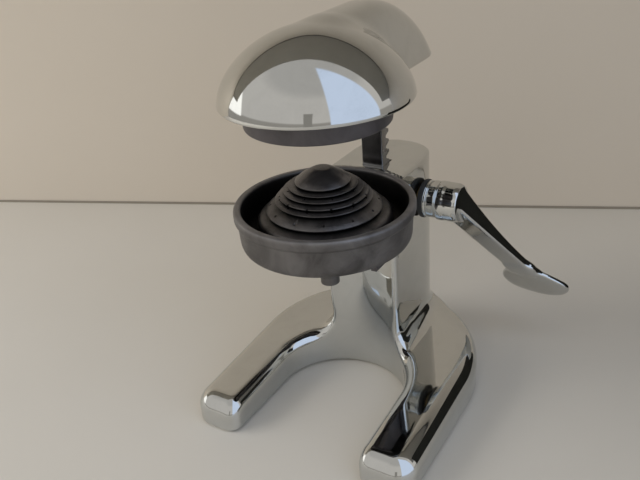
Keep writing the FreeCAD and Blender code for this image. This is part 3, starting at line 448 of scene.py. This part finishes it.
def leverField(p):
    x, along, z = p[..., 0], p[..., 1], p[..., 2]
    ring = np.hypot(along, z)
    neck, shoulder, elbow = (hubRing(x, ring, *hubRings[key]) for key in ("neck", "shoulder", "elbow"))
    hub = roundMin(neck, roundMin(shoulder, elbow, 0.6), 0.8)
    share = fade(along, lever["armFrom"], lever["armLength"])
    centre = lever["hubFace"] + lever["elbowAt"] + lever["lean"] * along
    half = (lever["rootWidth"] - lever["taper"] * share) / 2
    thick = lever["tipThick"] + lever["rootExtra"] * (1 - share) ** 2
    across = (np.abs(x - centre) - half) / lever["slant"]
    through = np.abs(z + lever["face"] - thick / 2) - thick / 2
    ends = np.maximum(lever["armFrom"] - along, along - lever["armTo"])
    arm = roundMax(roundMax(across, through, lever["armRound"]), ends, lever["armRound"])
    leaf = outlineField(x, along, gripOutline)
    crown = lever["gripHalf"] - lever["gripThin"] * fade(leaf, -lever["gripBevel"], lever["gripBevel"]) ** 2
    grip = roundMax(leaf, np.abs(z + lever["face"] - lever["gripHalf"]) - crown, lever["gripRound"])
    return roundMin(hub, roundMin(arm, grip, lever["gripBlend"]), lever["hubBlend"])


def leverToPress(p):  # turns the lever's own frame about the axle
    drop = math.radians(lever["drop"])
    y = p[:, 1] * math.cos(drop) + p[:, 2] * math.sin(drop)
    z = p[:, 2] * math.cos(drop) - p[:, 1] * math.sin(drop)
    return np.stack([p[:, 0], y + axle["y"], z + axle["z"]], 1)


gripOutline = smoothLoop(gripPoints, 72) + np.array(gripPlace)
cell = lever["cell"]
verts, faces = surfaceNet(leverField, lever["low"], lever["high"], cell)
leverPiece = makeObject("leverArm", leverToPress(verts), faces)
boreFrom, boreTo = (30, axle["y"], axle["z"]), (lever["boreEnd"], axle["y"], axle["z"])
carve(leverPiece, cutterRod(lever["bore"], boreFrom, boreTo, "x", 48))
leverPiece.data.set_sharp_from_angle(angle=math.radians(40))
print("lever", len(leverPiece.data.polygons))


# Bowl, turned from its outline

bowl = dict(outline=[(4.0, 97.0), (6.0, 97.0), (6.0, 112.0), (10.5, 115.0), (12.0, 122.0), (22.0, 122.0),
                     (48.2, 129.0), (51.5, 130.2), (52.5, 133.2), (53.2, 147.2), (55.0, 148.2), (55.0, 154.0),
                     (50.6, 154.0), (49.6, 137.0), (45.2, 132.6), (12.0, 125.0), (4.0, 121.0), (4.0, 97.0)],
            corners=[0, 0.7, 2, 3, 1, 1, 2, 2, 2, 1.0, 0.9, 2.0, 1.4, 3, 4, 3, 2, 0], steps=7, around=224)
bowlProfile = roundCorners(bowl["outline"], bowl["corners"], bowl["steps"])[:-1]
bowlPiece = turned("bowlWall", bowlProfile, bowl["around"])


# Strainer: overlapping rings under a cap, drilled to let the juice through

strainer = dict(capTop=175.2, capFlat=5.2, capEdge=(7.2, 174.3), steps=5,
                rings=[(16.8, 167.5), (20.9, 165.4), (24.2, 162.9), (27.0, 159.9), (29.6, 157.0),
                       (35.4, 150.7)],
                skirt=[(39.5, 147.1), (41.0, 145.0), (41.0, 131.9), (38.4, 131.9)],
                inside=[(38.4, 142.0), (26.2, 151.2), (14.8, 162.5), (0.0, 166.6)],
                endCorners=[0.6, 1.5, 1.2, 0.5, 0.5, 2, 2, 2, 0],
                holes=((21.4, 163.0, 8, 0.0), (26.6, 157.2, 12, 10.0), (32.6, 150.8, 12, 0.0)),
                holeRadius=0.8, holeReach=9, footSlots=12, slotLow=(36, -1.5, 129), slotHigh=(44, 1.5, 137))


def strainerProfile():  # each ring bulges to its lip, turns under it and starts the next one
    outline = [(0.0, strainer["capTop"]), (strainer["capFlat"], strainer["capTop"])]
    corners = [0, 1.6]
    last = strainer["capEdge"]
    for r, z in strainer["rings"]:
        bulge = (r - 0.3 * (r - last[0]), z + 0.42 * (last[1] - z))
        outline += [last, bulge, (r, z), (r - 0.5, z - 0.9), (r - 2.0, z - 1.0)]
        corners += [0.5, 2.5, 0.9, 0.4, 0.3]
        last = (r - 1.5, z - 1.7)
    outline += [last] + strainer["skirt"] + strainer["inside"]
    return roundCorners(outline, corners + strainer["endCorners"], strainer["steps"])


def strainerCutters():
    cutters = []
    for ring, level, count, start in strainer["holes"]:
        for k in range(count):
            a = math.radians(start + 360 * k / count)
            spot = (ring * math.cos(a), ring * math.sin(a))
            foot, top = spot + (level - strainer["holeReach"],), spot + (level + strainer["holeReach"],)
            cutters.append(cutterRod(strainer["holeRadius"], foot, top, around=16))
    for k in range(strainer["footSlots"]):
        turn = Matrix.Rotation(2 * math.pi * (k + 0.5) / strainer["footSlots"], 4, "Z")
        slot = cutterBox(strainer["slotLow"], strainer["slotHigh"])
        slot.data.transform(Matrix.Translation(Vector(-middle)))
        slot.data.transform(turn)
        slot.data.transform(Matrix.Translation(Vector(middle)))
        cutters.append(slot)
    return cutters


def markGrooves(obj):  # an attribute that is 1 under each ring's lip, where the material paints shade into the grooves
    spots = np.empty(len(obj.data.vertices) * 3)
    obj.data.vertices.foreach_get("co", spots)
    spots = (spots.reshape(-1, 3) - middle) * 1000
    out, up = np.hypot(spots[:, 0], spots[:, 1]), spots[:, 2]
    groove = np.zeros(len(out))
    for r, z in strainer["rings"]:
        groove[(out > r - 2.4) & (out < r - 0.2) & (up > z - 2.1) & (up < z - 0.6)] = 1.0
    obj.data.attributes.new("groove", "FLOAT", "POINT").data.foreach_set("value", groove)


conePiece = turned("strainerCone", strainerProfile(), ring=False)
carve(conePiece, *strainerCutters())
conePiece.data.set_sharp_from_angle(angle=math.radians(50))
markGrooves(conePiece)


# Pressing cup: an arc inside, a straight-sided rim outside

cup = dict(radius=38.6, level=203.9, rise=29.1, crown=233.0, screwBore=2.2,
           outside=[(42.6, 203.9), (43.8, 216.4), (43.8, 220.4), (38.6, 226.4), (27.9, 231.5), (14.0, 238.0),
                    (0.0, 238.0)],
           corners=[0] + [0.3] * 8 + [0.9, 1.1] + [1.5] * 5 + [0], steps=4)
cupArc = [(cup["radius"] * math.cos(a), cup["level"] + cup["rise"] * math.sin(a))
          for a in np.radians(np.arange(80, -1, -10))]
cupOutline = [(0.0, cup["crown"])] + cupArc + cup["outside"]
cupPiece = turned("pressingCup", roundCorners(cupOutline, cup["corners"], cup["steps"]), ring=False)
carve(cupPiece, *[cutterRod(cup["screwBore"], spot + (220,), spot + (245,), around=24) for spot in cupScrews])
cupPiece.data.set_sharp_from_angle(angle=math.radians(50))


# Washers between the column and the hub, as long as the CAD has them

washers = dict(bore=6.08, rubberRadius=13.2, rubberRound=1.2, steelRadius=12.9, steelRound=0.8)


def washer(name, cadNode, radius, soft):
    start, end = ((corner[0] - middle[0]) * 1000 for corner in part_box(cadNode))
    bore = washers["bore"]
    profile = [(bore, start), (radius, start), (radius, end), (bore, end), (bore, start)]
    rounded = roundCorners(profile, [0, soft, soft, 0.2, 0], 6)[:-1]
    return turned(name, rounded, 160, axis="x", centre=(0, axle["y"], axle["z"]))


frictionPiece = washer("frictionWasher", "friction_washer", washers["rubberRadius"], washers["rubberRound"])
steelPiece = washer("steelWasher", "steel_washer", washers["steelRadius"], washers["steelRound"])
print("turned pieces done")


# Node helpers

def node(tree, kind, **values):  # sets a node's own settings, or its inputs, with _ for a space
    made = tree.nodes.new(kind)
    for key, value in values.items():
        if hasattr(made, key) and key not in made.inputs:
            setattr(made, key, value)
        else:
            made.inputs[key.replace("_", " ")].default_value = value
    return made


def join(tree, *pairs):
    for source, target in pairs:
        tree.links.new(source, target)


def ramp(tree, stops):
    made = tree.nodes.new("ShaderNodeValToRGB")
    elements = made.color_ramp.elements
    while len(elements) < len(stops):
        elements.new(0.5)
    for element, (at, value) in zip(elements, stops):
        element.position = at
        element.color = (value, value, value, 1) if np.isscalar(value) else (*value, 1)
    return made


def smoothStep(tree, value, low, high):  # 0 to 1 as the value goes from low to high
    step = node(tree, "ShaderNodeMapRange", interpolation_type="SMOOTHSTEP", From_Min=low, From_Max=high)
    tree.links.new(value, step.inputs["Value"])
    return step.outputs["Result"]


def product(tree, a, b):
    both = node(tree, "ShaderNodeMath", operation="MULTIPLY")
    join(tree, (a, both.inputs[0]), (b, both.inputs[1]))
    return both.outputs[0]


def mixIn(tree, mask, before, colour):  # the colour, laid over what comes before where the mask is 1
    mix = node(tree, "ShaderNodeMix", data_type="RGBA")
    mix.inputs[7].default_value = (*colour, 1)
    join(tree, (mask, mix.inputs[0]), (before, mix.inputs[6]))
    return mix.outputs[2]


def newMaterial(name):
    old = bpy.data.materials.get(name)
    if old:
        bpy.data.materials.remove(old)
    material = bpy.data.materials.new(name)
    material.use_nodes = True
    tree = material.node_tree
    tree.nodes.clear()
    output = tree.nodes.new("ShaderNodeOutputMaterial")
    shader = tree.nodes.new("ShaderNodeBsdfPrincipled")
    tree.links.new(shader.outputs[0], output.inputs[0])
    return material, tree, shader


def newGroup(name, inputs, outputs):
    old = bpy.data.node_groups.get(name)
    if old:
        bpy.data.node_groups.remove(old)
    group = bpy.data.node_groups.new(name, "ShaderNodeTree")
    for label, value in inputs.items():
        socket = group.interface.new_socket(label, in_out="INPUT", socket_type="NodeSocketFloat")
        socket.default_value = value
    for label in outputs:
        group.interface.new_socket(label, in_out="OUTPUT", socket_type="NodeSocketFloat")
    return group, group.nodes.new("NodeGroupInput"), group.nodes.new("NodeGroupOutput")


def groupNode(tree, group):
    made = tree.nodes.new("ShaderNodeGroup")
    made.node_tree = group
    return made


# Finishes that several materials share

def smudgeGroup():  # wiped-on smears, from stretched noise broken up by fine noise
    g, given, result = newGroup("smudges", {"Scale": 60.0}, ["Value"])
    place = g.nodes.new("ShaderNodeTexCoord")
    soft = node(g, "ShaderNodeTexNoise", Detail=4.0, Roughness=0.55, Distortion=0.6)
    fine = node(g, "ShaderNodeTexNoise", Scale=900.0, Detail=3.0)
    curve = ramp(g, [(0.42, 0.0), (0.78, 1.0)])
    join(g, (place.outputs["Object"], soft.inputs["Vector"]), (given.outputs["Scale"], soft.inputs["Scale"]),
         (place.outputs["Object"], fine.inputs["Vector"]), (soft.outputs["Fac"], curve.inputs["Fac"]))
    join(g, (product(g, curve.outputs["Color"], fine.outputs["Fac"]), result.inputs["Value"]))
    return g


def castGroup():  # rough cast skin: a height from grain and pits, and patches for the colour
    g, given, result = newGroup("castSkin", {"Grain": 900.0, "Patch": 45.0}, ["Height", "Patches"])
    place = g.nodes.new("ShaderNodeTexCoord")
    grain = node(g, "ShaderNodeTexNoise", Detail=5.0, Roughness=0.65)
    patch = node(g, "ShaderNodeTexNoise", Detail=6.0, Roughness=0.6, Distortion=0.8)
    pits = node(g, "ShaderNodeTexVoronoi", Scale=500.0)
    pitRamp = ramp(g, [(0.0, 0.0), (0.22, 1.0)])
    join(g, *[(place.outputs["Object"], made.inputs["Vector"]) for made in (grain, patch, pits)])
    join(g, (given.outputs["Grain"], grain.inputs["Scale"]), (given.outputs["Patch"], patch.inputs["Scale"]),
         (pits.outputs["Distance"], pitRamp.inputs["Fac"]), (patch.outputs["Fac"], result.inputs["Patches"]))
    join(g, (product(g, grain.outputs["Fac"], pitRamp.outputs["Color"]), result.inputs["Height"]))
    return g


smudges, castSkin = smudgeGroup(), castGroup()


# Materials

def chrome(name, colour, dull, wavy):  # polished plate, duller in its smears, over metal not quite even
    material, tree, shader = newMaterial(name)
    shader.inputs["Metallic"].default_value = 1.0
    place = tree.nodes.new("ShaderNodeTexCoord")
    smear = groupNode(tree, smudges)
    rough = node(tree, "ShaderNodeMapRange", To_Min=dull, To_Max=dull + 0.16)
    tint = node(tree, "ShaderNodeMix", data_type="RGBA")
    tint.inputs[6].default_value = (*colour, 1)
    tint.inputs[7].default_value = (*[c * 0.86 for c in colour], 1)
    waves = node(tree, "ShaderNodeTexNoise", Scale=38.0, Detail=2.0)
    bump = node(tree, "ShaderNodeBump", Strength=wavy, Distance=0.0006)
    join(tree, (smear.outputs["Value"], rough.inputs["Value"]), (smear.outputs["Value"], tint.inputs[0]),
         (rough.outputs["Result"], shader.inputs["Roughness"]),
         (tint.outputs[2], shader.inputs["Base Color"]),
         (place.outputs["Object"], waves.inputs["Vector"]), (waves.outputs["Fac"], bump.inputs["Height"]),
         (bump.outputs["Normal"], shader.inputs["Normal"]))
    return material


# Dull cast metal, mottled by juice. Heights and reaches are in metres: the first option lightens a band of
# heights in patches, wear with a painted highlight; the second paints shade, darkening what is near the
# bowl's axis and between two heights;
# the third paints shade into the marked grooves
def castMetal(name, dark, light, rough, metallic, wearAndHighlight=None, insideShade=None, grooveShade=None):
    material, tree, shader = newMaterial(name)
    shader.inputs["Metallic"].default_value = metallic
    skin = groupNode(tree, castSkin)
    place = tree.nodes.new("ShaderNodeTexCoord")
    split = tree.nodes.new("ShaderNodeSeparateXYZ")
    spread = ramp(tree, [(0.3, dark), (0.72, light)])
    gloss = node(tree, "ShaderNodeMapRange", To_Min=rough - 0.08, To_Max=rough + 0.1)
    bump = node(tree, "ShaderNodeBump", Strength=0.35, Distance=0.0005)
    join(tree, (place.outputs["Object"], split.inputs[0]), (skin.outputs["Patches"], spread.inputs["Fac"]),
         (skin.outputs["Patches"], gloss.inputs["Value"]),
         (gloss.outputs["Result"], shader.inputs["Roughness"]),
         (skin.outputs["Height"], bump.inputs["Height"]), (bump.outputs["Normal"], shader.inputs["Normal"]))
    colour, height = spread.outputs["Color"], split.outputs["Z"]
    # lighter patches in a band of heights: wear, with a painted highlight on it
    if wearAndHighlight:
        band = smoothStep(tree, height, wearAndHighlight["low"], wearAndHighlight["high"])
        colour = mixIn(tree, product(tree, band, skin.outputs["Patches"]), colour, wearAndHighlight["colour"])
    # painted shade: darkens the inside of the bowl, near its axis and between two heights
    if insideShade:
        away = node(tree, "ShaderNodeVectorMath", operation="SUBTRACT")
        away.inputs[1].default_value = tuple(middle)
        flat = node(tree, "ShaderNodeVectorMath", operation="MULTIPLY")
        flat.inputs[1].default_value = (1, 1, 0)
        reach = node(tree, "ShaderNodeVectorMath", operation="LENGTH")
        join(tree, (place.outputs["Object"], away.inputs[0]), (away.outputs[0], flat.inputs[0]),
             (flat.outputs[0], reach.inputs[0]))
        within = smoothStep(tree, reach.outputs["Value"], insideShade["reach"] + 0.0006, insideShade["reach"] - 0.0006)
        below = smoothStep(tree, height, insideShade["top"] + 0.001, insideShade["top"] - 0.001)
        above = smoothStep(tree, height, insideShade["low"] - 0.0005, insideShade["low"] + 0.0005)
        mask = product(tree, product(tree, within, below), above)
        colour = mixIn(tree, mask, colour, insideShade["colour"])
    # painted shade in the grooves under each ring's lip
    if grooveShade:
        mark = node(tree, "ShaderNodeAttribute", attribute_name="groove")
        colour = mixIn(tree, mark.outputs["Fac"], colour, grooveShade)
    tree.links.new(colour, shader.inputs["Base Color"])
    return material


def rubber(name, colour):
    material, tree, shader = newMaterial(name)
    skin = groupNode(tree, castSkin)
    spread = ramp(tree, [(0.3, [c * 0.7 for c in colour]), (0.75, [c * 1.5 for c in colour])])
    bump = node(tree, "ShaderNodeBump", Strength=0.2, Distance=0.0002)
    shader.inputs["Roughness"].default_value = 0.55
    join(tree, (skin.outputs["Patches"], spread.inputs["Fac"]),
         (spread.outputs["Color"], shader.inputs["Base Color"]),
         (skin.outputs["Height"], bump.inputs["Height"]), (bump.outputs["Normal"], shader.inputs["Normal"]))
    return material


def machined(name, colour, rough, scale, stretch):  # cut metal: fine tool lines under a film of grease
    material, tree, shader = newMaterial(name)
    shader.inputs["Metallic"].default_value = 1.0
    place = tree.nodes.new("ShaderNodeTexCoord")
    warp = node(tree, "ShaderNodeMapping", Scale=stretch)
    lines = node(tree, "ShaderNodeTexNoise", Scale=scale, Detail=4.0)
    film = node(tree, "ShaderNodeTexNoise", Scale=70.0, Detail=4.0)
    spread = ramp(tree, [(0.3, [c * 0.55 for c in colour]), (0.7, colour)])
    gloss = node(tree, "ShaderNodeMapRange", To_Min=rough - 0.06, To_Max=rough + 0.12)
    bump = node(tree, "ShaderNodeBump", Strength=0.12, Distance=0.0003)
    join(tree, (place.outputs["Object"], warp.inputs["Vector"]),
         (warp.outputs["Vector"], lines.inputs["Vector"]),
         (place.outputs["Object"], film.inputs["Vector"]), (film.outputs["Fac"], spread.inputs["Fac"]),
         (film.outputs["Fac"], gloss.inputs["Value"]), (spread.outputs["Color"], shader.inputs["Base Color"]),
         (gloss.outputs["Result"], shader.inputs["Roughness"]), (lines.outputs["Fac"], bump.inputs["Height"]),
         (bump.outputs["Normal"], shader.inputs["Normal"]))
    return material


plate = chrome("polishedChrome", (0.64, 0.65, 0.64), 0.03, 0.05)
# the bowl: a band at the rim lightened in patches, wear with a painted highlight, and painted shade inside,
# near the axis
greyBowl = castMetal("castGreyBowl", (0.075, 0.071, 0.070), (0.205, 0.197, 0.196), 0.46, 0.75,
                     wearAndHighlight=dict(colour=(0.32, 0.31, 0.31), low=0.1505, high=0.1545),
                     insideShade=dict(colour=(0.012, 0.0115, 0.011), reach=0.0508, top=0.1525, low=0.123))
# the strainer: upper rings lightened in patches, wear with a painted highlight, and painted shade in the
# grooves
greyCone = castMetal("castGreyCone", (0.030, 0.029, 0.030), (0.190, 0.182, 0.184), 0.32, 0.85,
                     wearAndHighlight=dict(colour=(0.20, 0.19, 0.19), low=0.13, high=0.18), grooveShade=(0.004, 0.004, 0.004))
greyCup = castMetal("castGreyCup", (0.085, 0.080, 0.085), (0.150, 0.140, 0.148), 0.50, 0.7)
rackSteel = machined("rackSteel", (0.36, 0.36, 0.37), 0.22, 600.0, (1.0, 1.0, 0.06))
screwSteel = machined("screwSteel", (0.58, 0.58, 0.58), 0.28, 500.0, (1.0, 1.0, 1.0))
bronze = machined("bushBronze", (0.62, 0.45, 0.22), 0.3, 400.0, (0.06, 1.0, 1.0))
blackRubber = rubber("blackRubber", (0.018, 0.018, 0.018))


# Finishes, moving bodies and CAD nodes of the pieces

def dress(obj, material):
    obj.data.materials.clear()
    obj.data.materials.append(material)


pieces = ((bodyPiece, "stand", "body_casting", plate, "polished_chrome"),
          (leverPiece, "lever_set", "lever", plate, "polished_chrome"),
          (steelPiece, "lever_set", "steel_washer", plate, "polished_chrome"),
          (frictionPiece, "stand", "friction_washer", blackRubber, "black_rubber"),
          (bowlPiece, "juice_bowl", "bowl", greyBowl, "cast_grey"),
          (conePiece, "strainer", "strainer_cone", greyCone, "cast_grey"),
          (cupPiece, "press_head", "pressing_cup", greyCup, "cast_grey"),
          (headPiece, "press_head", "head_shell", plate, "polished_chrome"))
for obj, body, cadNode, material, slotName in pieces:
    dress(obj, material)
    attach(obj, body)
    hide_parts(cadNode)
dress(bossPiece, plate)
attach(bossPiece, "press_head")

bySlot = {"polished_chrome": plate, "cast_grey": greyCup, "rack_steel": rackSteel,
          "black_rubber": blackRubber, "bush_bronze": bronze, "screw_steel": screwSteel}
for part in frame["record"]["subparts"]:
    for entry in nodes[part["node"]].material_slots:
        entry.link = "OBJECT"
        entry.material = bySlot[part["material_slot"]]
print("materials done")


# Room: counter, wall, what hangs over them, and what shows only in the chrome

room = dict(wide=1500, front=-1500, back=1000, wallAt=337, wallTurn=0.374, wallTop=900, shadeAt=625,
            shadeFront=25, shadeTurn=0.35)


def plainMaterial(name, low, high, rough, scale):
    material, tree, shader = newMaterial(name)
    place = tree.nodes.new("ShaderNodeTexCoord")
    cloud = node(tree, "ShaderNodeTexNoise", Scale=scale, Detail=3.0)
    spread = ramp(tree, [(0.3, low), (0.7, high)])
    join(tree, (place.outputs["Object"], cloud.inputs["Vector"]),
         (cloud.outputs["Fac"], spread.inputs["Fac"]),
         (spread.outputs["Color"], shader.inputs["Base Color"]))
    shader.inputs["Roughness"].default_value = rough
    return material


def facing(material):  # lets the camera look through a surface from behind
    tree = material.node_tree
    output = next(n for n in tree.nodes if n.type == "OUTPUT_MATERIAL")
    shader = next(n for n in tree.nodes if n.type == "BSDF_PRINCIPLED")
    clear, mix = tree.nodes.new("ShaderNodeBsdfTransparent"), tree.nodes.new("ShaderNodeMixShader")
    side, path = tree.nodes.new("ShaderNodeNewGeometry"), tree.nodes.new("ShaderNodeLightPath")
    behind = product(tree, side.outputs["Backfacing"], path.outputs["Is Camera Ray"])
    join(tree, (behind, mix.inputs[0]), (shader.outputs[0], mix.inputs[1]), (clear.outputs[0], mix.inputs[2]),
         (mix.outputs[0], output.inputs[0]))
    return material


def wallPoint(side, z, away):  # side is -1 or 1, for the wall's left or right end
    x = side * room["wide"]
    return (x, room["wallAt"] + room["wallTurn"] * x + away, z)


def wallStrip(name, low, high, lowAway=0.0, highAway=0.0):
    corners = [wallPoint(-1, low, lowAway), wallPoint(1, low, lowAway), wallPoint(1, high, highAway),
               wallPoint(-1, high, highAway)]
    return makeObject(name, corners, [(0, 1, 2, 3)])


def counterTop():
    wide, front, back = room["wide"], room["front"], room["back"]
    corners = [(-wide, front, 0), (wide, front, 0), (wide, back, 0), (-wide, back, 0)]
    return makeObject("counterTop", corners, [(0, 1, 2, 3)])


def overheadShade():
    wide, z = room["wide"], room["shadeAt"]
    turn, wallTurn = room["shadeTurn"] * wide, room["wallTurn"] * wide
    corners = [(-wide, room["shadeFront"] - turn, z), (-wide, room["wallAt"] - wallTurn, z),
               (wide, room["wallAt"] + wallTurn, z), (wide, room["shadeFront"] + turn, z)]
    return makeObject("overheadShade", corners, [(0, 1, 2, 3)])


floor = counterTop()
dress(floor, facing(plainMaterial("counter", (0.64, 0.61, 0.55), (0.68, 0.65, 0.59), 0.45, 3.0)))
wall = wallStrip("backWall", 0, room["wallTop"])
dress(wall, facing(plainMaterial("wallPaint", (0.60, 0.535, 0.445), (0.63, 0.565, 0.475), 0.6, 2.0)))
joint = wallStrip("wallJoint", 0, 2.5, -1.2, -0.6)
dress(joint, facing(plainMaterial("jointShade", (0.24, 0.21, 0.165), (0.27, 0.24, 0.19), 0.8, 20.0)))
shade = overheadShade()
dress(shade, plainMaterial("shadePaint", (0.34, 0.33, 0.30), (0.38, 0.37, 0.34), 0.7, 3.0))
gap = wallStrip("overheadGap", 612, 624, -2, -2)
dress(gap, plainMaterial("gapShade", (0.05, 0.05, 0.045), (0.07, 0.07, 0.065), 0.8, 20.0))
panelCorners = [(158, 278, 2), (270, 88, 2), (270, 88, 175), (158, 278, 175)]
panel = makeObject("darkPanel", panelCorners, [(0, 1, 2, 3)])  # the lever's dark side mirrors this
dress(panel, plainMaterial("panelShade", (0.002, 0.003, 0.002), (0.007, 0.008, 0.006), 0.6, 9.0))
for thing in (shade, gap, panel):
    thing.visible_camera = False
panel.visible_diffuse = False
panel.visible_shadow = False

world = bpy.data.worlds.new("room")
bpy.context.scene.world = world
world.use_nodes = True
sky = world.node_tree
sky.nodes.clear()
worldOut = sky.nodes.new("ShaderNodeOutputWorld")
shine = sky.nodes.new("ShaderNodeBackground")
lookAt = sky.nodes.new("ShaderNodeTexCoord")


def towards(direction, low, high):  # 0 to 1 as the view's share along a direction rises from low to high
    dot = node(sky, "ShaderNodeVectorMath", operation="DOT_PRODUCT")
    dot.inputs[1].default_value = direction
    sky.links.new(lookAt.outputs["Generated"], dot.inputs[0])
    return smoothStep(sky, dot.outputs["Value"], low, high)


frontWall = node(sky, "ShaderNodeRGB")
frontWall.outputs[0].default_value = (0.62, 0.595, 0.56, 1)
ceiling = towards((0, 0, 1), 0.70, 0.86)
colour = mixIn(sky, ceiling, frontWall.outputs[0], (0.50, 0.485, 0.46))
ground = towards((0, 0, -1), -0.10, -0.04)
colour = mixIn(sky, ground, colour, (0.36, 0.34, 0.31))
rightWindow = product(sky, towards((0.707, 0.707, 0), 0.0, 0.03), towards((0.268, -1, 0), 0.0, 0.04))
colour = mixIn(sky, rightWindow, colour, (0.74, 0.86, 1.08))
doorway = product(sky, towards((0.94, 0.34, 0), -0.06, -0.05), towards((-0.97, -0.24, 0), -0.22, -0.20))
doorway = product(sky, doorway, towards((0, 0, -1), -0.42, -0.40))
colour = mixIn(sky, doorway, colour, (0.30, 0.285, 0.26))
leftWindow = product(sky, towards((-1, 0, 0), 0.86, 0.88), towards((0, 0, 1), 0.02, 0.05))
leftWindow = product(sky, leftWindow, towards((0, 0, -1), -0.5, -0.47))
colour = mixIn(sky, leftWindow, colour, (1.5, 1.47, 1.4))
join(sky, (colour, shine.inputs["Color"]), (shine.outputs[0], worldOut.inputs[0]))


# Lights are soft rectangles in metres about the bowl's axis; glow is how bright one looks in a mirror

def areaLight(name, place, target, width, height, glow, colour, mirrored):
    data = bpy.data.lights.new(name, "AREA")
    data.shape = "RECTANGLE"
    data.size, data.size_y = width, height
    data.energy = glow * math.pi * width * height
    data.color = colour
    obj = bpy.data.objects.new(name, data)
    bpy.context.scene.collection.objects.link(obj)
    spot, aim = Vector(place) + Vector(middle), Vector(target) + Vector(middle)
    obj.matrix_world = Matrix.Translation(spot) @ (spot - aim).to_track_quat("Z", "Y").to_matrix().to_4x4()
    obj.visible_glossy = mirrored


areaLight("windowLeft", (-1.3, -0.05, 0.50), (0, 0, 0.2), 0.10, 0.55, 5.0, (1.0, 0.98, 0.95), True)
areaLight("keyLeft", (-1.0, -0.75, 0.75), (0, 0, 0.1), 0.8, 0.6, 5.2, (1.0, 0.97, 0.93), False)
areaLight("fillFront", (0.3, -1.2, 0.9), (0, 0.1, 0.1), 1.0, 0.7, 0.5, (1.0, 0.98, 0.96), False)
print("room done")


# Camera where the photo was taken: metres about the bowl's axis, and degrees

camera = dict(lens=41.868, place=(0.217835, -0.342764, 0.339877), around=33.0673, above=27.6335, roll=4.7255)


def placeCamera():
    around, above, roll = (math.radians(camera[key]) for key in ("around", "above", "roll"))
    level = math.cos(above)
    back = np.array([math.sin(around) * level, -math.cos(around) * level, math.sin(above)])
    right = np.cross(-back, [0, 0, 1])
    right /= np.linalg.norm(right)
    up = np.cross(right, -back)
    rightRolled = right * math.cos(roll) - up * math.sin(roll)
    upRolled = right * math.sin(roll) + up * math.cos(roll)
    spot = np.array(camera["place"]) + middle
    columns = np.column_stack([rightRolled, upRolled, back, spot])
    data = bpy.data.cameras.new("camera")
    data.lens = camera["lens"]
    data.sensor_width = 36
    data.clip_start = 0.01
    view = bpy.data.objects.new("camera", data)
    bpy.context.scene.collection.objects.link(view)
    view.matrix_world = Matrix(np.vstack([columns, [0, 0, 0, 1]]).tolist())
    return view


bpy.context.scene.camera = placeCamera()
bpy.context.scene.view_settings.view_transform = "Standard"
